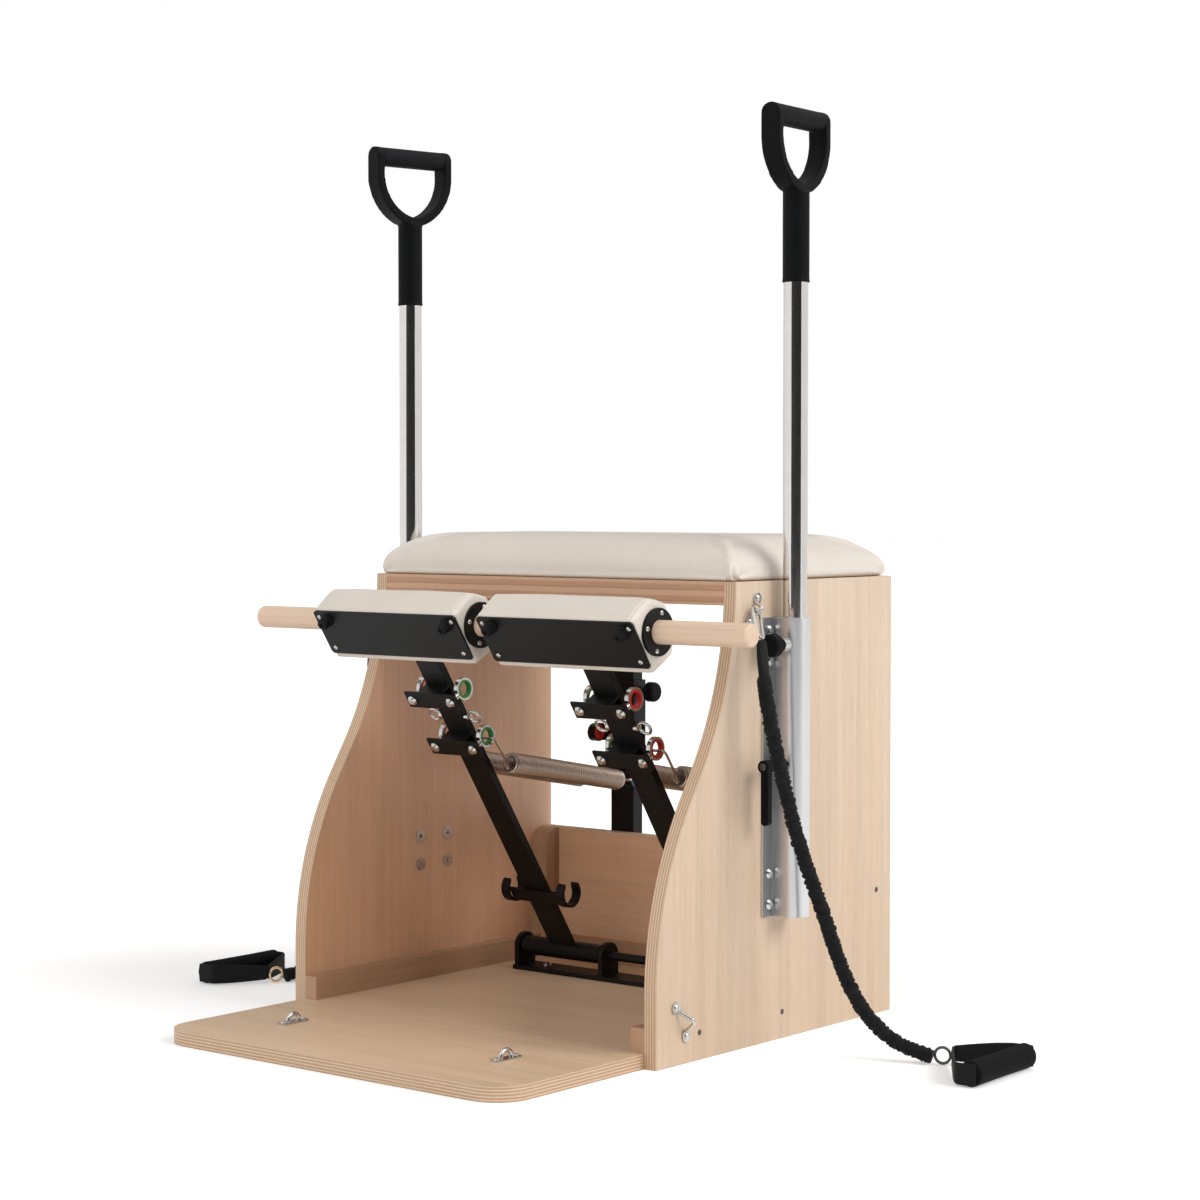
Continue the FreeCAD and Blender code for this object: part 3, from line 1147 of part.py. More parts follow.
def carriage_knob():
    mid_y = (PANEL_REAR_Y + POST_REAR_Y) / 2.0
    tip = POST_X - POST_WIDTH / 2.0 - PULL_TIP_GAP
    neck = POST_X - CARRIAGE_HALF - PULL_STEM_LENGTH
    end = neck - PULL_HEAD_LENGTH

    def at(x, radius):
        return Vector(x, mid_y + radius, PULL_Z)

    slope = PULL_HEAD_ROUND * (1.0 - math.sqrt(0.5))
    rim = PULL_HEAD_RADIUS
    edges = [
        Part.makeLine(at(tip, 0), at(tip, PULL_STEM_RADIUS)),
        Part.makeLine(at(tip, PULL_STEM_RADIUS), at(neck, PULL_STEM_RADIUS)),
        Part.makeLine(at(neck, PULL_STEM_RADIUS), at(neck, rim)),
        Part.makeLine(at(neck, rim), at(end + PULL_HEAD_ROUND, rim)),
        Part.Arc(at(end + PULL_HEAD_ROUND, rim), at(end + slope, rim - slope),
                 at(end, rim - PULL_HEAD_ROUND)).toShape(),
        Part.makeLine(at(end, rim - PULL_HEAD_ROUND), at(end, 0)),
        Part.makeLine(at(end, 0), at(tip, 0))]
    return Part.Face(Part.Wire(edges)).revolve(Vector(end, mid_y, PULL_Z), X_AXIS, 360)


# Spring coil: a helix of half turns, each drawn as two tangent arcs.
def biarc(p0, t0, p1, t1):
    gap = p1 - p0
    both = t0 + t1
    a = 2.0 * (t0.dot(t1) - 1.0)
    b = -2.0 * gap.dot(both)
    c = gap.dot(gap)
    reach = c / -b if abs(a) < 1e-9 else (-b - math.sqrt(b * b - 4.0 * a * c)) / (2.0 * a)
    joint = (p0 + t0 * reach + p1 - t1 * reach) * 0.5
    return tangent_arc(p0, p0 + t0 * reach, joint), tangent_arc(joint, p1 - t1 * reach, p1)


def tangent_arc(start, corner, end):
    # Arc between two points whose tangents meet at the corner.
    half = (start - corner).getAngle(end - corner) / 2.0
    reach = (start - corner).Length
    radius = reach * math.tan(half)
    centre = corner + ((start + end) * 0.5 - corner).normalize() * (reach / math.cos(half))
    middle = centre + (corner - centre).normalize() * radius
    return Part.Arc(start, middle, end).toShape()


def coil(start, end):
    axis = (end - start).normalize()
    side = axis.cross(Z_AXIS).normalize()
    up = side.cross(axis)
    mean = SPRING_OUTER_RADIUS - SPRING_WIRE_RADIUS
    wire = 2.0 * SPRING_WIRE_RADIUS
    total = (end - start).Length
    slope = math.atan2(total / SPRING_TURNS, 2.0 * math.pi * mean)
    lead = SPRING_WIRE_RADIUS + wire * math.sin(slope)
    pitch = (total - 2.0 * lead) / SPRING_TURNS

    def at(turns):
        angle = 2.0 * math.pi * turns
        along = lead + pitch * turns
        return start + axis * along + side * (mean * math.cos(angle)) + up * (mean * math.sin(angle))

    def heading(turns):
        angle = 2.0 * math.pi * turns
        across = (up * math.cos(angle) - side * math.sin(angle)) * (2.0 * math.pi * mean)
        return (across + axis * pitch).normalize()

    edges = [Part.LineSegment(at(0) - heading(0) * wire, at(0)).toShape()]
    for i in range(2 * SPRING_TURNS):
        edges.extend(biarc(at(i / 2.0), heading(i / 2.0), at((i + 1) / 2.0), heading((i + 1) / 2.0)))
    last = SPRING_TURNS
    edges.append(Part.LineSegment(at(last), at(last) + heading(last) * wire).toShape())
    path = Part.Wire(edges)
    points = [path_point for edge in edges for path_point in edge.discretize(7)[:-1]]
    far = 12
    least = min((points[i] - points[j]).Length for i in range(len(points))
                for j in range(i + far, min(i + 5 * far, len(points))))
    solid = swept(path, SPRING_WIRE_RADIUS)
    plain = math.pi * SPRING_WIRE_RADIUS ** 2 * path.Length
    print("spring gap", round(least - wire, 2), "volume ratio", round(solid.Volume / plain, 4))
    return solid


def spring_hook(end, inward, target, side, clear):
    # Disc at the coil's end and a wire that runs beside the eye and turns through it.
    base = end - inward * (SPRING_CAP_GAP + SPRING_CAP_LENGTH)
    cap = rod(base, inward, SPRING_OUTER_RADIUS, SPRING_CAP_LENGTH)
    aside = target + X_AXIS * (side * SPRING_HOOK_SIDE)
    through = target - X_AXIS * (side * SPRING_HOOK_SIDE)
    shoulder = aside + (base - target).normalize() * clear
    out = base - inward * SPRING_HOOK_STEM
    root = base + inward * (SPRING_CAP_LENGTH / 2.0)
    wire = bent_rod([root, out, shoulder, aside, through], SPRING_HOOK_BEND, SPRING_HOOK_RADIUS)
    return fused([cap, wire])


def springs():
    lean = math.radians(ARM_LEAN)
    up = Vector(0, -math.sin(lean), math.cos(lean))
    ahead = Vector(0, -math.cos(lean), -math.sin(lean))
    room = LINER_INNER_RADIUS - SPRING_HOOK_RADIUS - HOOK_WIRE_RADIUS
    pieces = []
    for step in (-EYE_SPREAD / 2.0, EYE_SPREAD / 2.0):
        side = 1.0 if step > 0 else -1.0
        front = Vector(PEDAL_X + step, SPRING_FRONT_Y, SPRING_FRONT_Z)
        rear = Vector(POST_X + step, SPRING_REAR_Y, SPRING_REAR_Z)
        axis = (rear - front).normalize()
        eye = Vector(PEDAL_X + step, PIVOT_Y, PIVOT_Z) + up * BAR_LOWER_S + ahead * EYE_T
        low = (front - eye).normalize()
        back_eye = Vector(POST_X + step, CARRIAGE_EYE_Y, CARRIAGE_EYE_ZS[0])
        pieces.append(coil(front, rear))
        pieces.append(spring_hook(front, axis, eye + low * room, side, EYE_OUTER_RADIUS))
        back_clear = CARRIAGE_EYE_OUTER - room + 2.0 * SPRING_HOOK_RADIUS
        pieces.append(spring_hook(rear, axis * -1.0, back_eye - Y_AXIS * room, side, back_clear))
    return pieces


# Straps: each hangs from its upper hook and ends in a grip on the floor.
def strap(side, end, cord, grip):
    # Heights along the cord are shares of the carabiner's height, and never under the floor.
    height = PANEL_HEIGHT - CARABINER_DROP
    lowest = CORD_RADIUS + CORD_FLOOR_GAP
    points = [Vector(x, y, max(share * height, lowest)) for x, y, share in cord]
    nose = Vector(side * (OUTER_X + HOOK_REACH), UPPER_HOOK_NOSE[0], UPPER_HOOK_NOSE[1])
    low = hook_root(UPPER_HOOK_BOTTOM, UPPER_HOOK_NOSE)
    low = Vector(side * low.x, low.y, low.z)
    rest = low + (nose - low).normalize() * CARABINER_SEAT
    down = (Vector(end[0], end[1], height) - rest).normalize()
    hang = rest - down * (HOOK_WIRE_RADIUS + CARABINER_WIRE + CARABINER_PLAY)
    wire = (nose - low).normalize()
    across = down.cross(wire).normalize()
    hardware = [carabiner(hang, down, across)]
    tail = hang + down * (CARABINER_LENGTH - CARABINER_WIRE + WEBBING_GAP)
    webbing = web(tail, points[0])
    path, radii = bent_path(points, None)
    tube = swept(path, CORD_RADIUS)
    plain = math.pi * CORD_RADIUS ** 2 * path.Length
    print("cord radii", [round(radius) for radius in radii], "length", round(path.Length),
          "volume over section times length", round(tube.Volume / plain, 4))
    heading = (points[-1] - points[-2]).normalize()
    flat = Vector(heading.x, heading.y, 0).normalize()
    centre = points[-1] + flat * (RING_RADIUS + RING_WIRE + CORD_RADIUS / 4.0)
    centre = Vector(centre.x, centre.y, RING_RADIUS + RING_WIRE + STRAP_GAP)
    hardware.append(Part.makeTorus(RING_RADIUS, RING_WIRE, centre, flat.cross(Z_AXIS)))
    apex = centre + flat * (RING_RADIUS + RING_WIRE + STRAP_GAP)
    return tube, hardware, [webbing] + handle(apex, flat, grip)


def carabiner(top, down, across):
    half = CARABINER_WIDTH / 2.0 - CARABINER_WIRE
    normal = across.cross(down).normalize()
    high = top + down * half
    low = top + down * (CARABINER_LENGTH - 2.0 * CARABINER_WIRE - half)
    length = (low - high).Length
    pieces = []
    for centre in (high, low):
        pieces.append(Part.makeTorus(half, CARABINER_WIRE, centre, normal))
    reach = CARABINER_WIDTH
    keep = rod(high, down, reach, length)
    pieces = [piece.cut(keep) for piece in pieces]
    for shift in (-half, half):
        pieces.append(rod(high + across * shift, down, CARABINER_WIRE, length))
    return fused(pieces)


def web(tail, head):
    run = head - tail
    length = run.Length - WEBBING_GAP
    half_w = WEBBING_WIDTH / 2.0
    half_t = WEBBING_THICKNESS / 2.0
    band = box(-half_w, half_w, -half_t, half_t, -length, 0)
    band.rotate(ORIGIN, Z_AXIS.cross(run * -1.0).normalize(), math.degrees(Z_AXIS.getAngle(run * -1.0)))
    band.translate(tail)
    return band


def handle(apex, flat, grip):
    height = GRIP_RADIUS + GRIP_FLOOR_GAP
    near = Vector(grip[0][0], grip[0][1], height)
    far = Vector(grip[1][0], grip[1][1], height)
    along = (far - near).normalize()
    bar = rod(near, along, GRIP_RADIUS, (far - near).Length)
    pieces = []
    toward = Vector(apex.x, apex.y, 0)
    for face, outward in ((near, along * -1.0), (far, along)):
        tab = face + outward * (STRAP_GAP + BAND_THICKNESS / 2.0)
        tab = Vector(tab.x, tab.y, 0)
        inward = (along * along.dot(toward - tab) * -1.0 + (toward - tab)).normalize()
        knee = tab + inward * (GRIP_RADIUS + BAND_THICKNESS)
        pieces.append(plank(tab - inward * (GRIP_RADIUS / 2.0), knee))
        pieces.append(plank(knee, toward + flat * (BAND_THICKNESS / 2.0)))
    return [bar, fused(pieces)]


def plank(start, end):
    # Band on edge between two floor points, with rounded ends.
    run = (end - start).normalize()
    across = Z_AXIS.cross(run) * (BAND_THICKNESS / 2.0)
    lift = Vector(0, 0, BAND_FLOOR_GAP)
    corners = [start + across + lift, start - across + lift, end - across + lift, end + across + lift]
    pieces = [prism(polyline(corners), Vector(0, 0, BAND_HEIGHT))]
    for point in (start, end):
        pieces.append(rod(point + lift, Z_AXIS, BAND_THICKNESS / 2.0, BAND_HEIGHT))
    return fused(pieces)


os.makedirs("parts", exist_ok=True)

right_panel = side_panel()
save("side_panel_right", [right_panel])
save("side_panel_left", [mirrored(right_panel)])
save("base_board", [base_board()])
save("base_cleats", base_cleats())
save("corner_gussets", corner_gussets())
save("rear_panel", [rear_panel()])
save("seat_board", [seat_board()])
save("seat_cushion", [seat_cushion()])

right_sleeve = pole_sleeve()
save("pole_sleeve_right", [right_sleeve])
save("pole_sleeve_left", [mirrored(right_sleeve)])
save("sleeve_fasteners", sleeve_fasteners())
save("pole_right", [pole()])
save("pole_left", [mirrored(pole())])
save("d_handle_right", [d_handle(HANDLE_TURN_RIGHT)])
save("d_handle_left", [mirrored(d_handle(-HANDLE_TURN_LEFT))])
save("plunger_right", [plunger()])
save("plunger_left", [mirrored(plunger())])
save("clamp_lever_right", [clamp_lever()])
save("clamp_lever_left", [mirrored(clamp_lever())])

save("strap_hooks", both_sides([strap_hook(*hook) for hook in HOOKS]))
save("hook_screws", hook_screws())
save("panel_screws", panel_screws())
save("floor_eyes", floor_eyes())
save("pivot_bracket", [pivot_bracket()])
save("pivot_shaft", [pivot_shaft()])
save("frame_bolts", frame_bolts())

for label, x in (("left", -PEDAL_X), ("right", PEDAL_X)):
    save("pedal_arm_" + label, [placed(pedal_arm(), x)])
    save("pivot_bushes_" + label, [placed(piece, x) for piece in pivot_bushes()])
    save("spring_bars_" + label, [placed(piece, x) for piece in spring_bars()])
    save("arm_eye_bolts_" + label, [placed(piece, x) for piece in arm_eye_bolts()])
    save("eye_liners_" + label, [placed(piece, x) for piece in eye_liners()])
    save("dowel_cradle_" + label, [placed(dowel_cradle(), x)])
    save("pedal_core_" + label, [placed(pedal_core(), x)])
    save("pedal_pad_" + label, [placed(pedal_pad(), x)])
    save("pedal_plate_" + label, [placed(pedal_plate(), x)])
    save("pedal_bumpers_" + label, [placed(piece, x) for piece in pedal_bumpers()])
    save("dowel_flanges_" + label, [placed(piece, x) for piece in dowel_flanges()])
save("dowel", [placed(dowel(), 0.0)])

save("spring_posts", spring_posts())
save("carriage_right", [carriage()])
save("carriage_left", [mirrored(carriage())])
save("carriage_knob_right", [carriage_knob()])
save("carriage_knob_left", [mirrored(carriage_knob())])
right_springs = springs()
save("springs_right", right_springs)
save("springs_left", [mirrored(piece) for piece in right_springs])

right_cord, right_hardware, right_handle = strap(1.0, RIGHT_CARABINER_END, RIGHT_CORD, RIGHT_GRIP)
left_cord, left_hardware, left_handle = strap(-1.0, LEFT_CARABINER_END, LEFT_CORD, LEFT_GRIP)
save("strap_cord_right", [right_cord])
save("strap_cord_left", [left_cord])
save("strap_hardware", right_hardware + left_hardware)
save("strap_handles", right_handle + left_handle)
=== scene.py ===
import math

import bmesh
import bpy
import numpy as np
from mathutils import Matrix, Vector, noise


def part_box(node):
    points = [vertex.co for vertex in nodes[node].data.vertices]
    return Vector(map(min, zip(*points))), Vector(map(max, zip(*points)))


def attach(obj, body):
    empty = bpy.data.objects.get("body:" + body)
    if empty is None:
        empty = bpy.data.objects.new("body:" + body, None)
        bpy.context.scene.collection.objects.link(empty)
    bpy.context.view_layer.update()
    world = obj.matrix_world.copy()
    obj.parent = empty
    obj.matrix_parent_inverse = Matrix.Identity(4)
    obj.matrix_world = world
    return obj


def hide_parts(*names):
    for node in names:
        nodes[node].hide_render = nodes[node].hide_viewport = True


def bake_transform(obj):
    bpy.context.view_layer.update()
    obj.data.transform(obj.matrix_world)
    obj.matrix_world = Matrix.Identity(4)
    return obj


# Pilates chair dressed for looks. Lengths are in millimetres, but in metres in the materials, in the seat
# cover's cloth and folds, and where a name ends in _M.
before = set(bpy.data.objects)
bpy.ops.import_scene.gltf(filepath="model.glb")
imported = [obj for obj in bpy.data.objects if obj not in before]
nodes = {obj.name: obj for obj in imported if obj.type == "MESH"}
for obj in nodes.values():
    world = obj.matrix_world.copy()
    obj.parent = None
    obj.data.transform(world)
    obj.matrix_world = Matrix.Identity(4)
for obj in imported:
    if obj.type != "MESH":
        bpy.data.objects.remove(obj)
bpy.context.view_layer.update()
scene = bpy.context.scene
MM = 0.001
TAU = 2.0 * math.pi
UP = Vector((0, 0, 1))
WHITE = (1.0, 1.0, 1.0)
WARM_WHITE = (1.0, 0.985, 0.965, 1.0)
SIDES = (("left", -1.0), ("right", 1.0))

# ---------------------------------------------------------------- camera
EYE_POINT = (2249.7, -2613.64, 672.82)
YAW = math.radians(39.235)
PITCH = math.radians(2.173)
LENS = 81.573


def build_camera():
    ahead = Vector((-math.sin(YAW) * math.cos(PITCH), math.cos(YAW) * math.cos(PITCH), -math.sin(PITCH)))
    right = Vector((math.cos(YAW), math.sin(YAW), 0.0))
    up = right.cross(ahead)
    data = bpy.data.cameras.new("camera")
    data.sensor_width = 36.0
    data.lens = LENS
    data.clip_end = 100.0
    obj = bpy.data.objects.new("camera", data)
    turn = Matrix((right, up, -ahead)).transposed().to_4x4()
    obj.matrix_world = Matrix.Translation(Vector(EYE_POINT) * MM) @ turn
    scene.collection.objects.link(obj)
    scene.camera = obj


build_camera()


# ---------------------------------------------------------------- shader helpers
class Shader:
    """A procedural material and short ways to add nodes to it."""

    def __init__(self, name, roughness=0.5, metallic=0.0, specular=0.5):
        self.material = bpy.data.materials.new(name)
        self.material.use_nodes = True
        self.tree = self.material.node_tree
        self.bsdf = next(n for n in self.tree.nodes if n.type == "BSDF_PRINCIPLED")
        self.bsdf.inputs["Roughness"].default_value = roughness
        self.bsdf.inputs["Metallic"].default_value = metallic
        self.bsdf.inputs["Specular IOR Level"].default_value = specular
        self.coords = self.add("ShaderNodeTexCoord")
        self.normal = None

    def add(self, kind, values=None, **settings):
        made = self.tree.nodes.new(kind)
        for key, value in settings.items():
            setattr(made, key, value)
        for key, value in (values or {}).items():
            made.inputs[key].default_value = value
        return made

    def link(self, source, target):
        self.tree.links.new(source, target)

    def scaled(self, scale):
        mapping = self.add("ShaderNodeMapping", {"Scale": scale})
        self.link(self.coords.outputs["Object"], mapping.inputs["Vector"])
        return mapping.outputs["Vector"]

    def noise(self, scale, detail=4.0, rough=0.55, distortion=0.0, stretch=None):
        made = self.add("ShaderNodeTexNoise",
                        {"Scale": scale, "Detail": detail, "Roughness": rough, "Distortion": distortion})
        vector = self.scaled(stretch) if stretch else self.coords.outputs["Object"]
        self.link(vector, made.inputs["Vector"])
        return made.outputs["Fac"]

    def cells(self, scale, stretch=None, feature="F1"):
        made = self.add("ShaderNodeTexVoronoi", {"Scale": scale}, feature=feature)
        vector = self.scaled(stretch) if stretch else self.coords.outputs["Object"]
        self.link(vector, made.inputs["Vector"])
        return made.outputs["Distance"]

    def math(self, operation, first, second=None):
        made = self.add("ShaderNodeMath", operation=operation)
        for index, value in enumerate((first, second)):
            if value is None:
                continue
            if isinstance(value, (int, float)):
                made.inputs[index].default_value = value
            else:
                self.link(value, made.inputs[index])
        return made.outputs[0]

    def ramp(self, factor, stops):
        made = self.add("ShaderNodeValToRGB")
        elements = made.color_ramp.elements
        while len(elements) < len(stops):
            elements.new(0.5)
        for element, (place, colour) in zip(elements, stops):
            element.position = place
            element.color = tuple(colour) + (1.0,)
        self.link(factor, made.inputs["Fac"])
        return made.outputs["Color"]

    def span(self, factor, low, high):
        made = self.add("ShaderNodeMapRange", {"To Min": low, "To Max": high})
        self.link(factor, made.inputs["Value"])
        return made.outputs["Result"]

    def mix(self, factor, first, second, blend="MIX"):
        made = self.add("ShaderNodeMix", data_type="RGBA", blend_type=blend)
        sockets = [s for s in made.inputs if s.type == "RGBA"]
        for socket, value in ((made.inputs["Factor"], factor), (sockets[0], first), (sockets[1], second)):
            if isinstance(value, (int, float)):
                socket.default_value = value
            elif isinstance(value, tuple):
                socket.default_value = value + (1.0,)
            else:
                self.link(value, socket)
        return next(s for s in made.outputs if s.type == "RGBA")

    def shades(self, factor, colour, low, dark, high, light):
        """Tones of one colour, from dark at low to light at high."""
        return self.ramp(factor, ((low, tone(colour, dark)), (high, tone(colour, light))))

    def stained(self, amount, colour, factor, low, stain, high, light=WHITE):
        """The colour multiplied by a stain at low that clears at high."""
        return self.mix(amount, colour, self.ramp(factor, ((low, stain), (high, light))), "MULTIPLY")

    def axis(self, source, index):
        made = self.add("ShaderNodeSeparateXYZ")
        self.link(self.coords.outputs[source], made.inputs["Vector"])
        return made.outputs[index]

    def soft_edges(self, radius):
        made = self.add("ShaderNodeBevel", {"Radius": radius}, samples=4)
        self.normal = made.outputs["Normal"]

    def bump(self, height, strength, distance):
        made = self.add("ShaderNodeBump", {"Strength": strength, "Distance": distance})
        self.link(height, made.inputs["Height"])
        if self.normal is not None:
            self.link(self.normal, made.inputs["Normal"])
        self.normal = made.outputs["Normal"]

    def finish(self, colour=None, roughness=None):
        if colour is not None:
            self.link(colour, self.bsdf.inputs["Base Color"])
        if roughness is not None:
            self.link(roughness, self.bsdf.inputs["Roughness"])
        if self.normal is not None:
            self.link(self.normal, self.bsdf.inputs["Normal"])
        return self.material


def tone(colour, gain):
    return tuple(min(1.0, c * gain) for c in colour)


def grey(level):
    return (level, level, level)


def stretched(across, along, axis):
    """Texture scales that are the same across a grain and different along its axis."""
    scales = [across, across, across]
    scales[axis] = along
    return tuple(scales)


# ---------------------------------------------------------------- materials
def plywood(name, face_axis, grain_axis, face, edge_light, edge_dark, ply=1.9, inside=None):
    """Veneered plywood: faces square to face_axis show long grain, every other side shows its plies.

    Faces nearer the middle than inside get a warmer, darker painted shade; the other faces get painted light,
    darker towards the bottom and paler towards the top.
    """
    s = Shader(name, roughness=0.42, specular=0.7)
    across = stretched(95.0, 3.2, grain_axis)
    broad = s.noise(1.0, 5.0, 0.6, 0.7, tuple(0.33 * v for v in across))
    grain = s.noise(1.0, 6.0, 0.62, 0.35, across)
    pores = s.noise(1.0, 3.0, 0.5, 0.0, stretched(620.0, 26.0, grain_axis))
    veneer = s.ramp(grain, ((0.30, tone(face, 0.90)), (0.52, face), (0.72, tone(face, 1.05))))
    veneer = s.stained(1.0, veneer, broad, 0.32, (0.93, 0.90, 0.86), 0.66)
    veneer = s.stained(0.55, veneer, pores, 0.33, (0.86, 0.82, 0.77), 0.47)
    if inside:
        # Painted light: outer faces darker at the bottom and paler at the top; inner faces a warmer, darker
        # painted shade.
        height = s.math("MULTIPLY", s.axis("Object", 2), 1.75)
        painted_height_light = s.ramp(height, ((0.09, (0.86, 0.89, 0.93)), (0.52, (0.94, 0.99, 1.07)),
                                   (0.96, (0.98, 1.07, 1.19))))
        painted_shade_inner_faces = s.math("LESS_THAN", s.math("ABSOLUTE", s.axis("Object", face_axis)), inside)
        veneer = s.mix(1.0, veneer, s.mix(painted_shade_inner_faces, painted_height_light, (1.04, 0.87, 0.80)), "MULTIPLY")
    layer = s.math("MULTIPLY", s.axis("Object", face_axis), 500.0 / ply)
    wander = s.noise(16.0, 2.0)
    layer = s.math("ADD", layer, s.math("MULTIPLY", wander, 0.12))
    layer = s.math("FRACT", layer)
    plies = s.ramp(layer, ((0.02, tone(edge_dark, 0.72)), (0.06, edge_dark), (0.46, tone(edge_dark, 1.06)),
                           (0.51, edge_light), (0.94, tone(edge_light, 0.97)), (0.99, tone(edge_dark, 0.8))))
    fibre = s.noise(420.0, 3.0, 0.6)
    plies = s.stained(0.5, plies, fibre, 0.3, (0.82, 0.80, 0.77), 0.62, (1.04, 1.03, 1.02))
    facing = s.math("ABSOLUTE", s.axis("Normal", face_axis))
    facing = s.math("GREATER_THAN", facing, 0.72)
    colour = s.mix(facing, plies, veneer)
    s.soft_edges(0.0012)
    s.bump(grain, 0.10, 0.0006)
    s.bump(pores, 0.12, 0.0002)
    return s.finish(colour, s.span(grain, 0.36, 0.50))


def solid_wood(name, grain_axis, colour, contrast=1.0):
    """Plain sawn hardwood: long grain with short dark flecks."""
    s = Shader(name, roughness=0.45, specular=0.4)
    grain = s.noise(1.0, 6.0, 0.6, 0.5, stretched(150.0, 5.0, grain_axis))
    low = 1.0 - 0.13 * contrast
    veneer = s.ramp(grain, ((0.28, tone(colour, low)), (0.52, colour), (0.76, tone(colour, 1.05))))
    flecks = s.cells(1.0, stretched(900.0, 110.0, grain_axis))
    veneer = s.stained(0.5, veneer, flecks, 0.10, (0.72, 0.62, 0.52), 0.26)
    s.soft_edges(0.0010)
    s.bump(grain, 0.12, 0.0006)
    return s.finish(veneer, s.span(grain, 0.38, 0.52))


def vinyl(name, colour):
    """Upholstery vinyl: a pebbled skin, a little uneven in shade and shine."""
    s = Shader(name, roughness=0.5, specular=0.42)
    cloud = s.noise(9.0, 4.0, 0.6)
    pebble = s.cells(1150.0, None, "DISTANCE_TO_EDGE")
    crease = s.noise(210.0, 5.0, 0.62, 1.1)
    shade = s.shades(cloud, colour, 0.3, 0.955, 0.7, 1.03)
    shade = s.stained(0.6, shade, crease, 0.32, (0.955, 0.945, 0.93), 0.6)
    s.bump(s.math("MINIMUM", s.math("MULTIPLY", pebble, 5.0), 1.0), 0.16, 0.00022)
    s.bump(crease, 0.10, 0.0007)
    s.bump(s.noise(38.0, 3.0, 0.5), 0.06, 0.002)
    return s.finish(shade, s.span(crease, 0.42, 0.60))


def powder_coat(name, colour, roughness=0.42):
    """Satin powder coat with a faint orange-peel skin and paler rubbed patches."""
    s = Shader(name, roughness=roughness, specular=0.2)
    peel = s.noise(900.0, 2.0, 0.5)
    rub = s.noise(26.0, 5.0, 0.62)
    shade = s.shades(rub, colour, 0.35, 1.0, 0.75, 1.5)
    s.soft_edges(0.0009)
    s.bump(peel, 0.14, 0.00022)
    return s.finish(shade, s.span(rub, roughness - 0.08, roughness + 0.10))


def moulded(name, colour, roughness=0.55, grit=1300.0, depth=0.0003, strength=0.3):
    """Moulded plastic or rubber with a sparked, grainy skin."""
    s = Shader(name, roughness=roughness, specular=0.09)
    skin = s.noise(grit, 3.0, 0.62)
    cloud = s.noise(34.0, 4.0, 0.6)
    shade = s.shades(cloud, colour, 0.3, 0.8, 0.72, 1.35)
    shade = s.stained(0.35, shade, skin, 0.35, grey(0.55), 0.65)
    s.bump(skin, strength, depth)
    return s.finish(shade, s.span(cloud, roughness - 0.07, roughness + 0.09))


def metal(name, colour, roughness, grain_axis=None, grain=700.0, wear=0.08, soft=0.0005):
    """Bare metal, drawn or brushed along grain_axis when one is given."""
    s = Shader(name, roughness=roughness, metallic=1.0)
    stretch = grey(grain) if grain_axis is None else stretched(grain, grain / 60.0, grain_axis)
    lines = s.noise(1.0, 3.0, 0.55, 0.0, stretch)
    cloud = s.noise(45.0, 4.0, 0.6)
    shade = s.shades(cloud, colour, 0.3, 0.96, 0.7, 1.02)
    if soft:
        s.soft_edges(soft)
    s.bump(lines, 0.05, 0.0002)
    rough = s.math("ADD", s.span(lines, roughness - 0.03, roughness + wear), s.span(cloud, -0.01, 0.012))
    return s.finish(shade, rough)


def extrusion(name, colour, flat_axis):
    """Anodised extrusion: fine draw lines along Z, and on its flat flange a rougher finish and a darker
    painted shade.
    """
    s = Shader(name, roughness=0.34, metallic=1.0)
    lines = s.noise(1.0, 3.0, 0.55, 0.0, (1100.0, 1100.0, 14.0))
    cloud = s.noise(30.0, 3.0, 0.6)
    flat = s.math("GREATER_THAN", s.math("ABSOLUTE", s.axis("Normal", flat_axis)), 0.985)
    near = s.math("LESS_THAN", s.math("ABSOLUTE", s.axis("Object", flat_axis)), 0.3045)
    flat = s.math("MULTIPLY", flat, near)
    # Painted shade: the flat flange is darkened to 0.42 of the colour; its extra roughness further down is
    # real.
    shade = s.mix(flat, colour, tone(colour, 0.42))
    shade = s.stained(0.6, shade, cloud, 0.3, grey(0.93), 0.7)
    s.soft_edges(0.0006)
    s.bump(lines, 0.06, 0.0002)
    return s.finish(shade, s.math("ADD", s.span(lines, 0.28, 0.38), s.math("MULTIPLY", flat, 0.12)))


def cloth(name, colour, weave=1500.0):
    """Woven synthetic: fine crossing threads over a soft uneven black."""
    s = Shader(name, roughness=0.82, specular=0.15)
    s.bsdf.inputs["Sheen Weight"].default_value = 0.05
    s.bsdf.inputs["Sheen Roughness"].default_value = 0.45
    rows = []
    for direction in ("DIAGONAL", "Z"):
        row = s.add("ShaderNodeTexWave", {"Scale": weave / 6.0, "Distortion": 0.6, "Detail": 1.0},
                    wave_type="BANDS", bands_direction=direction)
        s.link(s.coords.outputs["Object"], row.inputs["Vector"])
        rows.append(row.outputs["Fac"])
    threads = s.math("MAXIMUM", rows[0], rows[1])
    fluff = s.noise(480.0, 3.0, 0.6)
    shade = s.shades(threads, colour, 0.2, 0.45, 0.85, 1.35)
    shade = s.stained(0.5, shade, fluff, 0.35, (0.6, 0.6, 0.62), 0.65)
    s.bump(threads, 0.35, 0.00035)
    s.bump(fluff, 0.2, 0.0004)
    return s.finish(shade, s.span(fluff, 0.72, 0.92))


def sided_plastic(name, centre, outer, inner):
    """Moulded liners in two colours: one on the outer side of each arm and one on its inner side."""
    s = Shader(name, roughness=0.38, specular=0.5)
    far = s.math("GREATER_THAN", s.math("ABSOLUTE", s.axis("Object", 0)), centre * MM)
    cloud = s.noise(160.0, 3.0, 0.6)
    shade = s.stained(1.0, s.mix(far, inner, outer), cloud, 0.3, grey(0.78), 0.7)
    s.bump(cloud, 0.12, 0.0003)
    return s.finish(shade, s.span(cloud, 0.30, 0.46))


